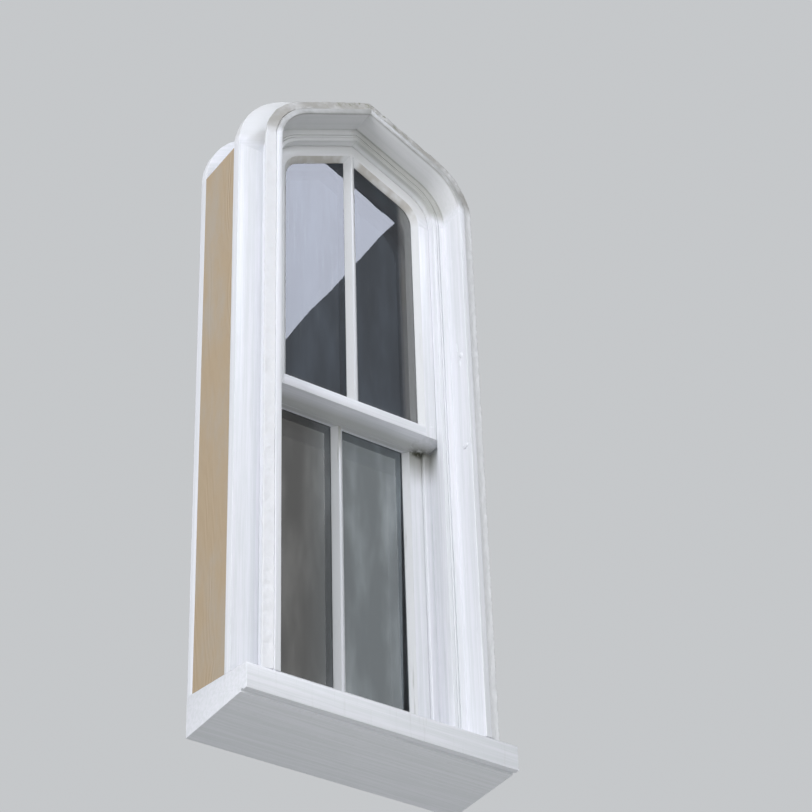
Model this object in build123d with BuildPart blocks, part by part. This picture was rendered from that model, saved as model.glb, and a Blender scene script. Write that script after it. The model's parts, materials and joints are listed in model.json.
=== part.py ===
from build123d import *
import os
from math import cos, radians, sqrt, tan

os.makedirs("parts", exist_ok=True)

# Sizes are in millimetres. X runs to the right seen from outside, Y runs from the outside
# face into the room, and Z is up. The origin is the middle of the sill's underside.

# Shape of the head: vertical sides, a round shoulder each side, then straight slopes to the apex
springing_z = 1222.5
shoulder_x = 97.5
head_slope = 26.0

# Widths, each counted from the middle of the window outwards
sight_half = 144.5
stile_width = 47.5
sash_side_gap = 1.5
lining_cover = 14.5
lining_margin = 26.0
reveal_thickness = 12.0
sealant_width = 21.0
sealant_lip = 1.0
sealant_hollow = 4.5
sealant_edge = 6.0
sealant_back = 13.0
pulley_stile_thickness = 22.0
weight_space = 44.5
back_lining_thickness = 8.0

# Depths, from the outside face of the reveal to the room
reveal_depth = 54.0
lining_thickness = 18.0
sash_play = 1.0
sash_thickness = 46.0
parting_thickness = 9.0

# Heights of the rails
sill_height = 76.0
sill_fall = 9.0
sill_nose_radius = 5.0
drip_radius = 4.0
drip_setback = 15.0
seat_gap = 0.3
bottom_rail_height = 79.0
meeting_z = 704.5
meeting_rail_height = 32.0
meeting_bevel = 5.0
meeting_gap = 0.5
travel = 450.0

# Section of the sash timbers
rebate_width = 10.0
rebate_depth = 16.0
glass_thickness = 4.0
glass_edge_gap = 1.0
glass_groove_depth = 8.0
glass_groove_entry = 6.0
glass_groove_play = 0.3
ovolo_radius = 10.0
quirk_depth = 2.0
bar_half = 12.7
bar_fin_half = 2.7
tenon_thickness = 13.0
tenon_setback = 1.0
tenon_margin = 5.0
head_tenon_length = 30.0
head_tenon_inset = 11.5
head_tenon_width = 20.0

# Joinery of the box
tongue_thickness = 6.0
tongue_length = 6.0
tongue_inset = 8.0
parting_projection = 14.0
parting_groove = 8.0
parting_round = 2.0
staff_projection = 16.0
staff_round = 6.0
sill_bead_height = 22.0
bead_inset = 10.5
bead_channel_width = 7.0
bead_channel_depth = 2.5
bead_radius = 2.5
partition_thickness = 6.0
partition_gap = 2.0
partition_top_gap = 40.0
pocket_bottom = 130.0
pocket_height = 360.0
pocket_edge_gap = 3.5
pocket_joint = 0.3
joint_gap = 1.5

# Cords, pulleys and weights
cord_diameter = 6.0
cord_gap = 0.3
cord_inset = 4.0
groove_width = 7.0
groove_depth = 8.0
wheel_groove_width = 14.0
wheel_groove_margin = 7.5
knot_radius = 6.0
knot_cover = 1.0
knot_pocket_radius = 7.5
knot_pocket_depth = 14.0
upper_knot_drop = 262.5
lower_knot_drop = 176.5
pulley_drop = 72.5
wheel_radius = 25.0
wheel_groove_radius = 21.0
wheel_width = 11.0
wheel_web_width = 6.0
wheel_hub_radius = 8.0
wheel_rim_depth = 3.0
axle_radius = 4.0
axle_play = 0.05
cheek_gap = 13.0
cheek_thickness = 3.0
case_clearance = 1.5
faceplate_height = 118.0
faceplate_width = 28.0
faceplate_thickness = 3.0
faceplate_screw_radius = 4.0
faceplate_screw_pitch = 94.0
case_joint = 0.5
weight_radius = 18.0
weight_neck_radius = 11.0
weight_neck_height = 44.0
weight_shoulder = 12.0
weight_round = 3.0
weight_pocket_height = 22.0
weight_pocket_width = 15.0
weight_hole_gap = 0.4
upper_weight_length = 326.0
lower_weight_length = 352.0
weight_stop_gap = 13.0
lower_weight_hang = 15.0

# Sash fastener and lifts, in brass on the room side
fastener_x = -62.0
fastener_pivot_setback = 18.0
fastener_plate_length = 54.0
fastener_plate_width = 24.0
fastener_plate_thickness = 3.0
fastener_boss_radius = 8.0
fastener_boss_height = 4.0
fastener_pin_radius = 3.0
fastener_pin_play = 0.05
lever_thickness = 4.5
lever_gap = 0.3
lever_arm_length = 33.0
lever_arm_width = 9.0
lever_knob_radius = 6.0
lever_knob_height = 10.0
crescent_outer = 28.5
crescent_inner = 24.0
crescent_bearing = 180.0
crescent_sweep = 50.0
crescent_web_sweep = 25.0
keep_post_depth = 3.5
keep_post_gap = 1.0
keep_post_width = 6.0
keep_post_height = 13.0
keep_plate_length = 44.0
keep_plate_setback = 2.0
keep_plate_depth = 15.0
lift_spacing = 170.0
lift_width = 40.0
lift_height = 34.0
lift_plate_thickness = 2.5
lift_reach = 18.5
lift_hook_radius = 11.0
lift_drop = 21.0

# Places worked out from the sizes above
rebate_half = sight_half + rebate_width
sash_half = sight_half + stile_width
pulley_face = sash_half + sash_side_gap
lining_edge = sash_half - lining_cover
reveal_half = lining_edge + lining_margin
sealant_inner = reveal_half + reveal_thickness
sealant_outer = sealant_inner + sealant_width
pulley_back = pulley_face + pulley_stile_thickness
back_lining_x = pulley_back + weight_space
box_half = back_lining_x + back_lining_thickness
moulding_half = sight_half + ovolo_radius

channel = sash_play + sash_thickness + sash_play
frame_depth = reveal_depth + 2 * lining_thickness + 2 * channel + parting_thickness
front_y = -frame_depth / 2
lining_front = front_y + reveal_depth
box_front = lining_front + lining_thickness
upper_front = box_front + sash_play
upper_back = upper_front + sash_thickness
parting_front = upper_back + sash_play
parting_back = parting_front + parting_thickness
lower_front = parting_back + sash_play
lower_back = lower_front + sash_thickness
box_back = lower_back + sash_play
back_y = box_back + lining_thickness

meeting_top = meeting_z + meeting_rail_height
pulley_z = springing_z - pulley_drop
wheel_groove_length = pulley_drop + wheel_radius + wheel_groove_margin
upper_knot_z = springing_z - upper_knot_drop
lower_knot_z = meeting_top - lower_knot_drop
upper_sight_z = meeting_top
bead_half = lining_edge + bead_inset
tongue_half = pulley_face + tongue_inset
parting_edge = pulley_face - parting_projection
staff_edge = pulley_face - staff_projection
knot_rest = sqrt(knot_radius**2 - (cord_diameter / 2 + weight_hole_gap) ** 2) + cord_gap

cord_x = sash_half - cord_inset
pitch_radius = wheel_groove_radius + cord_gap + cord_diameter / 2
wheel_x = cord_x + pitch_radius
weight_x = wheel_x + pitch_radius
cheek_reach = pitch_radius + cord_diameter / 2 + case_clearance + cheek_thickness
weight_limit_z = pulley_z - cheek_reach - weight_stop_gap
upper_weight_top = weight_limit_z - travel
lower_weight_top = weight_limit_z - lower_weight_hang
groove_floor = sash_half - groove_depth
sash_knot_x = sash_half - knot_radius - knot_cover


def sill_top(y):
    """Height of the weathered top of the sill at a depth y."""
    return sill_height - (box_back - y) * tan(radians(sill_fall))


bottom_sight_z = sill_top(lower_front) + seat_gap + bottom_rail_height


def apex_z(half_width):
    """Height of the apex of the head curve that is half_width out at the springing."""
    radius = half_width - shoulder_x
    return springing_z + shoulder_x * tan(radians(head_slope)) + radius / cos(radians(head_slope))


def facade(y):
    """Plane parallel to the wall at depth y, facing outside."""
    return Plane.XZ.offset(-y)


def half_arch(half_width, bottom_z, inner_x=0.0):
    """Right half of the region under a head curve, as a face in the facade plane."""
    slope_top = apex_z(half_width) - inner_x * tan(radians(head_slope))
    with BuildSketch() as region:
        with BuildLine():
            shoulder = CenterArc(
                (shoulder_x, springing_z), half_width - shoulder_x, 0, 90 - head_slope
            )
            Line(shoulder @ 1, (inner_x, slope_top))
            Line((inner_x, slope_top), (inner_x, bottom_z))
            Line((inner_x, bottom_z), (half_width, bottom_z))
            if bottom_z < springing_z:
                Line((half_width, bottom_z), (half_width, springing_z))
        make_face()
    return region.sketch


def head_path(half_width, path_y, overrun):
    """Line of the head from the right springing, over the shoulder and past the apex."""
    with BuildLine(facade(path_y)) as path:
        shoulder = CenterArc(
            (shoulder_x, springing_z), half_width - shoulder_x, 0, 90 - head_slope
        )
        overrun_z = apex_z(half_width) + overrun * tan(radians(head_slope))
        Line(shoulder @ 1, (-overrun, overrun_z))
    return path.line


def half_arch_board(inner_half, outer_half, board_front, board_back, bottom_z, mode=Mode.ADD):
    """Adds the right half of an arched board between two head curves."""
    with BuildSketch() as outline:
        add(half_arch(outer_half, bottom_z))
        add(half_arch(inner_half, bottom_z), mode=Mode.SUBTRACT)
    extrude(facade(board_back) * outline.sketch, board_back - board_front, mode=mode)


def post(x_inner, x_outer, post_front, post_back, bottom_z, top_z, mode=Mode.ADD):
    """Adds an upright board of the right-hand jamb."""
    with Locations((x_inner, post_front, bottom_z)):
        Box(
            x_outer - x_inner,
            post_back - post_front,
            top_z - bottom_z,
            align=(Align.MIN, Align.MIN, Align.MIN),
            mode=mode,
        )


def save(piece, name):
    """Labels a finished piece and writes it."""
    piece.part.label = name
    export_step(piece.part, f"parts/{name}.step")


def save_pair(piece, name):
    """Writes a right-hand piece and its mirror image on the left."""
    save(piece, f"{name}_right")
    with BuildPart() as left_piece:
        add(mirror(piece.part, about=Plane.YZ, mode=Mode.PRIVATE))
    save(left_piece, f"{name}_left")


# Sill: weathered top, a level land for the inner lining, round nose and drip groove
with BuildPart() as sill_bed:
    with BuildSketch(Plane.YZ):
        with BuildLine():
            Polyline(
                (front_y, 0),
                (back_y, 0),
                (back_y, sill_height),
                (box_back, sill_height),
                (front_y, sill_top(front_y)),
                close=True,
            )
        make_face()
    extrude(amount=box_half, both=True)

with BuildPart() as sill:
    add(sill_bed.part)
    nose = sill.edges().filter_by(Axis.X).group_by(Axis.Y)[0].sort_by(Axis.Z)[-1]
    fillet(nose, sill_nose_radius)
    with Locations((0, front_y + drip_setback, 0)):
        Cylinder(drip_radius, 2 * box_half, rotation=(0, 90, 0), mode=Mode.SUBTRACT)
save(sill, "sill")


def stand_on_sill():
    """Cuts the foot of an upright to the slope of the sill."""
    add(sill_bed.part, mode=Mode.SUBTRACT)


def pulley_centres():
    """Depth of the middle of each sash, where its pulleys and weights are."""
    return upper_front + sash_thickness / 2, lower_front + sash_thickness / 2


# Pulley stile: tongued into both linings, grooved for the parting bead, cut for pulleys and pocket
pocket_front = parting_back + pocket_edge_gap
pocket_back = box_back - pocket_edge_gap

with BuildPart() as pulley_stile:
    post(pulley_face, pulley_back, box_front, box_back, 0, springing_z)
    post(
        tongue_half,
        tongue_half + tongue_thickness,
        box_front - tongue_length,
        box_back + tongue_length,
        0,
        springing_z,
    )
    stand_on_sill()
    post(
        pulley_face,
        pulley_face + parting_groove,
        parting_front,
        parting_back,
        0,
        springing_z,
        mode=Mode.SUBTRACT,
    )
    for pulley_y in pulley_centres():
        with BuildSketch(Plane.YZ.offset(pulley_face)):
            with Locations((pulley_y, pulley_z)):
                SlotOverall(faceplate_height, faceplate_width, rotation=90)
        extrude(amount=faceplate_thickness, mode=Mode.SUBTRACT)
        post(
            pulley_face,
            pulley_back,
            pulley_y - cheek_gap / 2 - cheek_thickness - case_joint,
            pulley_y + cheek_gap / 2 + cheek_thickness + case_joint,
            pulley_z - cheek_reach - case_joint,
            pulley_z + cheek_reach + case_joint,
            mode=Mode.SUBTRACT,
        )
    post(
        pulley_face,
        pulley_back,
        pocket_front,
        pocket_back,
        pocket_bottom,
        pocket_bottom + pocket_height,
        mode=Mode.SUBTRACT,
    )
save_pair(pulley_stile, "pulley_stile")

# Pocket piece: the loose cover through which the weights are reached
with BuildPart() as pocket_piece:
    post(
        pulley_face,
        pulley_back,
        pocket_front + pocket_joint,
        pocket_back - pocket_joint,
        pocket_bottom + pocket_joint,
        pocket_bottom + pocket_height - pocket_joint,
    )
    with Locations((pulley_face, (pocket_front + pocket_back) / 2, pocket_bottom + pocket_height / 2)):
        Cylinder(
            faceplate_screw_radius,
            faceplate_thickness,
            rotation=(0, 90, 0),
            align=(Align.CENTER, Align.CENTER, Align.MIN),
            mode=Mode.SUBTRACT,
        )
save_pair(pocket_piece, "pocket_piece")

# Outer lining: covers the edge of the sash and carries a small bead along its face
with BuildPart() as outer_lining:
    post(lining_edge, box_half, lining_front, box_front, 0, springing_z)
    stand_on_sill()
    post(
        tongue_half,
        tongue_half + tongue_thickness,
        box_front - tongue_length,
        box_front,
        0,
        springing_z,
        mode=Mode.SUBTRACT,
    )
    channel_half = bead_channel_width / 2
    post(
        bead_half - channel_half,
        bead_half + channel_half,
        lining_front,
        lining_front + bead_channel_depth,
        0,
        springing_z,
        mode=Mode.SUBTRACT,
    )
    foot_z = sill_top(lining_front + bead_channel_depth)
    with Locations((bead_half, lining_front + bead_channel_depth, foot_z)):
        Cylinder(
            bead_radius,
            springing_z - foot_z,
            align=(Align.CENTER, Align.CENTER, Align.MIN),
        )
    stand_on_sill()
save_pair(outer_lining, "outer_lining")

with BuildPart() as outer_head_lining:
    half_arch_board(lining_edge, box_half, lining_front, box_front, springing_z)
    half_arch_board(
        bead_half - channel_half,
        bead_half + channel_half,
        lining_front,
        lining_front + bead_channel_depth,
        springing_z,
        mode=Mode.SUBTRACT,
    )
    with BuildSketch(Plane.XY.offset(springing_z)) as bead_section:
        with Locations((bead_half, lining_front + bead_channel_depth)):
            Circle(bead_radius)
    bead_path = head_path(bead_half, lining_front + bead_channel_depth, bead_channel_width)
    sweep(bead_section.sketch, path=bead_path)
    split(bisect_by=Plane.YZ, keep=Keep.TOP)
    mirror(about=Plane.YZ)
save(outer_head_lining, "outer_head_lining")

# Inner lining: closes the box on the room side
with BuildPart() as inner_lining:
    post(pulley_face, box_half, box_back, back_y, 0, springing_z)
    post(
        tongue_half,
        tongue_half + tongue_thickness,
        box_back,
        box_back + tongue_length,
        0,
        springing_z,
        mode=Mode.SUBTRACT,
    )
    stand_on_sill()
save_pair(inner_lining, "inner_lining")

with BuildPart() as inner_head_lining:
    half_arch_board(pulley_face, box_half, box_back, back_y, springing_z)
    mirror(about=Plane.YZ)
save(inner_head_lining, "inner_head_lining")

# Back lining: the thin board behind the weights
with BuildPart() as back_lining:
    post(back_lining_x, box_half, box_front, box_back, 0, springing_z)
    stand_on_sill()
save_pair(back_lining, "back_lining")

# Arched head: carries the curve over both sash channels, grooved for the parting bead
with BuildPart() as arched_head:
    half_arch_board(pulley_face, pulley_back, box_front, box_back, springing_z)
    half_arch_board(
        pulley_face,
        pulley_face + parting_groove,
        parting_front,
        parting_back,
        springing_z,
        mode=Mode.SUBTRACT,
    )
    mirror(about=Plane.YZ)
save(arched_head, "arched_head")

# Weight partition: the thin slip that keeps the two weights of a box apart
partition_y = (parting_front + parting_back) / 2
with BuildPart() as weight_partition:
    post(
        pulley_back + partition_gap,
        back_lining_x,
        partition_y - partition_thickness / 2,
        partition_y + partition_thickness / 2,
        0,
        springing_z - partition_top_gap,
    )
    stand_on_sill()
save_pair(weight_partition, "weight_partition")

# Parting beads: the strips between the two sashes
with BuildPart() as parting_bead:
    post(parting_edge, pulley_face + parting_groove, parting_front, parting_back, 0, springing_z)
    stand_on_sill()
    fillet(parting_bead.edges().filter_by(Axis.Z).group_by(Axis.X)[0], parting_round)
save_pair(parting_bead, "parting_bead")

with BuildPart() as parting_bead_head:
    half_arch_board(
        parting_edge, pulley_face + parting_groove, parting_front, parting_back, springing_z
    )
    mirror(about=Plane.YZ)
save(parting_bead_head, "parting_bead_head")

# Staff beads: hold the lower sash from the room side
with BuildPart() as staff_bead:
    post(staff_edge, pulley_face, box_back, back_y, sill_height, springing_z)
    arris = staff_bead.edges().filter_by(Axis.Z).group_by(Axis.X)[0].sort_by(Axis.Y)[-1]
    fillet(arris, staff_round)
save_pair(staff_bead, "staff_bead")

with BuildPart() as staff_bead_head:
    half_arch_board(staff_edge, pulley_face, box_back, back_y, springing_z)
    mirror(about=Plane.YZ)
save(staff_bead_head, "staff_bead_head")

with BuildPart() as staff_bead_sill:
    with Locations((0, box_back, sill_height)):
        Box(
            2 * staff_edge,
            back_y - box_back,
            sill_bead_height,
            align=(Align.CENTER, Align.MIN, Align.MIN),
        )
    arris = staff_bead_sill.edges().filter_by(Axis.X).group_by(Axis.Z)[-1].sort_by(Axis.Y)[-1]
    fillet(arris, staff_round)
save(staff_bead_sill, "staff_bead_sill")

# Reveal lining: a deep board on edge in front of the outer lining, bent round the shoulder
with BuildPart() as reveal_lining:
    half_arch_board(reveal_half, sealant_inner, front_y, lining_front, 0)
    stand_on_sill()
save_pair(reveal_lining, "reveal_lining")

# Sealant: the uneven fillet between the reveal lining and the masonry
with BuildPart() as sealant:
    with BuildSketch(Plane.XY) as sealant_section:
        with BuildLine():
            Polyline(
                (sealant_outer, front_y + sealant_edge),
                (sealant_outer, front_y + sealant_back),
                (sealant_inner, front_y + sealant_back),
                (sealant_inner, front_y + sealant_lip),
            )
            ThreePointArc(
                (sealant_inner, front_y + sealant_lip),
                ((sealant_inner + sealant_outer) / 2, front_y + sealant_hollow),
                (sealant_outer, front_y + sealant_edge),
            )
        make_face()
    extrude(sealant_section.sketch, springing_z)
    head_sealant = Plane.XY.offset(springing_z) * sealant_section.sketch
    sweep(head_sealant, path=head_path(sealant_inner, front_y, sealant_width))
    split(bisect_by=Plane.YZ, keep=Keep.TOP)
    stand_on_sill()
    mirror(about=Plane.YZ)
save(sealant, "sealant")


def stile_section(sash_front):
    """Section of a right stile: rebated outside for the glass, ovolo moulded inside."""
    sash_back = sash_front + sash_thickness
    rebate_y = sash_front + rebate_depth
    ovolo_y = sash_back - quirk_depth - ovolo_radius
    with BuildSketch() as section:
        with BuildLine():
            Polyline(
                (moulding_half, sash_back - quirk_depth),
                (moulding_half, sash_back),
                (sash_half, sash_back),
                (sash_half, sash_front),
                (rebate_half, sash_front),
                (rebate_half, rebate_y),
                (sight_half, rebate_y),
                (sight_half, ovolo_y),
            )
            CenterArc((moulding_half, ovolo_y), ovolo_radius, 180, -90)
        make_face()
    return section.sketch


def bar_section(sash_front):
    """Section of a glazing bar: a thin fin between the panes, ovolo moulded inside."""
    sash_back = sash_front + sash_thickness
    rebate_y = sash_front + rebate_depth
    ovolo_y = sash_back - quirk_depth - ovolo_radius
    nose_half = bar_half - ovolo_radius
    with BuildSketch() as section:
        with BuildLine():
            Polyline(
                (0, sash_front),
                (bar_fin_half, sash_front),
                (bar_fin_half, rebate_y),
                (bar_half, rebate_y),
                (bar_half, ovolo_y),
            )
            CenterArc((nose_half, ovolo_y), ovolo_radius, 0, 90)
            Polyline(
                (nose_half, ovolo_y + ovolo_radius),
                (nose_half, sash_back),
                (0, sash_back),
                (0, sash_front),
            )
        make_face()
        mirror(about=Plane.YZ)
    return section.sketch


def tenon(sash_front, x_inner, x_outer, low_z, high_z, mode=Mode.ADD):
    """Adds or cuts a tenon in the thickness of a sash."""
    tenon_front = sash_front + rebate_depth + tenon_setback
    post(x_inner, x_outer, tenon_front, tenon_front + tenon_thickness, low_z, high_z, mode=mode)


def head_tenon(mode=Mode.ADD):
    """Adds or cuts the tenon on the top of a stile of the upper sash."""
    inner_x = sight_half + head_tenon_inset
    tenon(
        upper_front,
        inner_x,
        inner_x + head_tenon_width,
        springing_z,
        springing_z + head_tenon_length,
        mode=mode,
    )


def rail_tenon(sash_front, low_z, high_z, mode=Mode.ADD):
    """Adds or cuts the right-hand tenon of a rail, as far as the cord groove."""
    tenon(sash_front, sight_half, groove_floor, low_z + tenon_margin, high_z - tenon_margin, mode=mode)


def cord_grooves(sash_front, knot_z, stile_top, groove_top):
    """Cuts the cord groove, the wider run past the pulley and the knot pocket in a stile."""
    middle_y = sash_front + sash_thickness / 2
    post(
        groove_floor,
        sash_half,
        middle_y - groove_width / 2,
        middle_y + groove_width / 2,
        knot_z,
        groove_top,
        mode=Mode.SUBTRACT,
    )
    post(
        groove_floor,
        sash_half,
        middle_y - wheel_groove_width / 2,
        middle_y + wheel_groove_width / 2,
        stile_top - wheel_groove_length,
        groove_top,
        mode=Mode.SUBTRACT,
    )
    with Locations((sash_half, middle_y, knot_z)):
        Cylinder(
            knot_pocket_radius,
            knot_pocket_depth,
            rotation=(0, -90, 0),
            align=(Align.CENTER, Align.CENTER, Align.MIN),
            mode=Mode.SUBTRACT,
        )


# Upper sash, in the outer channel
shoulder_groove_top = springing_z + sash_half - shoulder_x

with BuildPart() as upper_stile_blank:
    extrude(Plane.XY.offset(meeting_z) * stile_section(upper_front), springing_z - meeting_z)

with BuildPart() as upper_stile:
    add(upper_stile_blank.part)
    head_tenon()
    rail_tenon(upper_front, meeting_z, meeting_top, mode=Mode.SUBTRACT)
    cord_grooves(upper_front, upper_knot_z, springing_z, springing_z)
save_pair(upper_stile, "upper_stile")

with BuildPart() as upper_head_rail:
    head_section = Plane.XY.offset(springing_z) * stile_section(upper_front)
    sweep(head_section, path=head_path(sight_half, upper_front, stile_width))
    split(bisect_by=Plane.YZ, keep=Keep.TOP)
    cord_grooves(upper_front, upper_knot_z, springing_z, shoulder_groove_top)
    head_tenon(mode=Mode.SUBTRACT)
    mirror(about=Plane.YZ)
save(upper_head_rail, "upper_head_rail")


def scribe_and_tenon(stile_blank, sash_front, low_z, high_z):
    """Scribes both ends of a rail over the stiles' mouldings and gives each end its tenon."""
    for blank in (stile_blank.part, mirror(stile_blank.part, about=Plane.YZ, mode=Mode.PRIVATE)):
        add(blank, mode=Mode.SUBTRACT)
    with BuildPart(mode=Mode.PRIVATE) as right_tenon:
        rail_tenon(sash_front, low_z, high_z)
    add(right_tenon.part)
    add(mirror(right_tenon.part, about=Plane.YZ, mode=Mode.PRIVATE))


def notch_for_parting_beads(notch_front, notch_back):
    """Cuts the overlap of a meeting rail short of the parting beads."""
    for side in (-1, 1):
        with Locations((side * (parting_edge - joint_gap), notch_front, meeting_z)):
            Box(
                stile_width,
                notch_back - notch_front,
                meeting_rail_height,
                align=(Align.MIN if side > 0 else Align.MAX, Align.MIN, Align.MIN),
                mode=Mode.SUBTRACT,
            )


meeting_middle = (upper_back + lower_front) / 2
bevel_top = meeting_middle - meeting_bevel / 2
bevel_bottom = meeting_middle + meeting_bevel / 2

with BuildPart() as upper_meeting_rail:
    with BuildSketch(Plane.YZ):
        with BuildLine():
            Polyline(
                (upper_front, meeting_z),
                (upper_front, upper_sight_z - rebate_width),
                (upper_front + rebate_depth, upper_sight_z - rebate_width),
                (upper_front + rebate_depth, upper_sight_z),
                (bevel_top - meeting_gap / 2, upper_sight_z),
                (bevel_bottom - meeting_gap / 2, meeting_z),
                close=True,
            )
        make_face()
    extrude(amount=sash_half, both=True)
    notch_for_parting_beads(upper_back, lower_front)
    scribe_and_tenon(upper_stile_blank, upper_front, meeting_z, meeting_top)
save(upper_meeting_rail, "upper_meeting_rail")

with BuildPart() as upper_bar:
    bar_top = apex_z(rebate_half)
    extrude(Plane.XY.offset(meeting_z) * bar_section(upper_front), bar_top - meeting_z)
    add(upper_meeting_rail.part, mode=Mode.SUBTRACT)
    with BuildSketch(facade(back_y)):
        Rectangle(2 * sash_half, upper_sight_z - rebate_width, align=(Align.CENTER, Align.MIN))
    extrude(amount=frame_depth, mode=Mode.SUBTRACT)
    add(upper_head_rail.part, mode=Mode.SUBTRACT)
save(upper_bar, "upper_glazing_bar")

# Lower sash, in the inner channel
with BuildPart() as sill_clearance:
    add(Pos(0, 0, seat_gap) * sill_bed.part)

bottom_tenon_z = sill_height + tenon_margin
with BuildPart() as lower_stile_blank:
    extrude(Plane.XY.offset(seat_gap) * stile_section(lower_front), meeting_top - seat_gap)
    add(sill_clearance.part, mode=Mode.SUBTRACT)

with BuildPart() as lower_stile:
    add(lower_stile_blank.part)
    rail_tenon(lower_front, meeting_z, meeting_top, mode=Mode.SUBTRACT)
    rail_tenon(
        lower_front, bottom_tenon_z, bottom_sight_z - rebate_width, mode=Mode.SUBTRACT
    )
    cord_grooves(lower_front, lower_knot_z, meeting_top, meeting_top)
save_pair(lower_stile, "lower_stile")

with BuildPart() as lower_meeting_rail:
    glass_front = lower_front + rebate_depth - glass_thickness
    groove_front = glass_front - glass_groove_play
    groove_back = glass_front + glass_thickness + glass_groove_play
    ovolo_y = lower_back - quirk_depth - ovolo_radius
    with BuildSketch(Plane.YZ):
        with BuildLine():
            Polyline(
                (lower_back - quirk_depth, meeting_z + ovolo_radius),
                (lower_back, meeting_z + ovolo_radius),
                (lower_back, meeting_top),
                (bevel_top + meeting_gap / 2, meeting_top),
                (bevel_bottom + meeting_gap / 2, meeting_z),
                (groove_front, meeting_z),
                (groove_front, meeting_z + glass_groove_depth),
                (groove_back, meeting_z + glass_groove_depth),
                (groove_back, meeting_z),
                (ovolo_y, meeting_z),
            )
            CenterArc((ovolo_y, meeting_z + ovolo_radius), ovolo_radius, -90, 90)
        make_face()
    extrude(amount=sash_half, both=True)
    notch_for_parting_beads(upper_back, lower_front)
    scribe_and_tenon(lower_stile_blank, lower_front, meeting_z, meeting_top)
save(lower_meeting_rail, "lower_meeting_rail")

with BuildPart() as bottom_rail_blank:
    with BuildSketch(Plane.YZ):
        with BuildLine():
            Polyline(
                (lower_back - quirk_depth, bottom_sight_z - ovolo_radius),
                (lower_back, bottom_sight_z - ovolo_radius),
                (lower_back, seat_gap),
                (lower_front, seat_gap),
                (lower_front, bottom_sight_z - rebate_width),
                (lower_front + rebate_depth, bottom_sight_z - rebate_width),
                (lower_front + rebate_depth, bottom_sight_z),
                (ovolo_y, bottom_sight_z),
            )
            CenterArc((ovolo_y, bottom_sight_z - ovolo_radius), ovolo_radius, 90, -90)
        make_face()
    extrude(amount=sash_half, both=True)
    add(sill_clearance.part, mode=Mode.SUBTRACT)

with BuildPart() as lower_bottom_rail:
    add(bottom_rail_blank.part)
    scribe_and_tenon(
        lower_stile_blank, lower_front, bottom_tenon_z, bottom_sight_z - rebate_width
    )
save(lower_bottom_rail, "lower_bottom_rail")

with BuildPart() as lower_bar:
    bar_root = bottom_sight_z - 2 * ovolo_radius
    extrude(Plane.XY.offset(bar_root) * bar_section(lower_front), meeting_z - bar_root)
    add(bottom_rail_blank.part, mode=Mode.SUBTRACT)
save(lower_bar, "lower_glazing_bar")

# Panes: each lies against its rebate with a small gap round the edge
upper_glass_bottom = upper_sight_z - rebate_width + glass_edge_gap
with BuildPart() as upper_pane:
    glass_back = upper_front + rebate_depth
    pane_outline = half_arch(
        rebate_half - glass_edge_gap, upper_glass_bottom, bar_fin_half + glass_edge_gap
    )
    extrude(facade(glass_back) * pane_outline, glass_thickness)
save_pair(upper_pane, "upper_pane")

with BuildPart() as lower_pane:
    post(
        bar_fin_half + glass_edge_gap,
        rebate_half - glass_edge_gap,
        lower_front + rebate_depth - glass_thickness,
        lower_front + rebate_depth,
        bottom_sight_z - rebate_width + glass_edge_gap,
        meeting_z + glass_groove_entry,
    )
save_pair(lower_pane, "lower_pane")


def pane_rectangle(inner_x, outer_x, low_z, high_z):
    """A pane's outline in the facade plane."""
    with BuildSketch() as outline:
        with Locations((inner_x, low_z)):
            Rectangle(outer_x - inner_x, high_z - low_z, align=(Align.MIN, Align.MIN))
    return outline.sketch


# Putty: a sloping fillet from the glass line to the arris of the timber, round each pane
putty_depth = rebate_depth - glass_thickness
with BuildPart() as upper_putty:
    arris_outline = half_arch(rebate_half, upper_sight_z - rebate_width, bar_fin_half)
    sight_outline = half_arch(sight_half, upper_sight_z, bar_half)
    putty_back = upper_front + putty_depth
    extrude(facade(putty_back) * arris_outline, putty_depth)
    loft(
        [facade(putty_back) * sight_outline, facade(upper_front) * arris_outline],
        ruled=True,
        mode=Mode.SUBTRACT,
    )
    mirror(about=Plane.YZ)
save(upper_putty, "upper_putty")

with BuildPart() as lower_putty:
    arris_outline = pane_rectangle(
        bar_fin_half, rebate_half, bottom_sight_z - rebate_width, meeting_z
    )
    sight_outline = pane_rectangle(bar_half, sight_half, bottom_sight_z, meeting_z)
    putty_back = lower_front + putty_depth
    extrude(facade(putty_back) * arris_outline, putty_depth)
    loft(
        [facade(putty_back) * sight_outline, facade(lower_front) * arris_outline],
        ruled=True,
        mode=Mode.SUBTRACT,
    )
    mirror(about=Plane.YZ)
save(lower_putty, "lower_putty")


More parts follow.
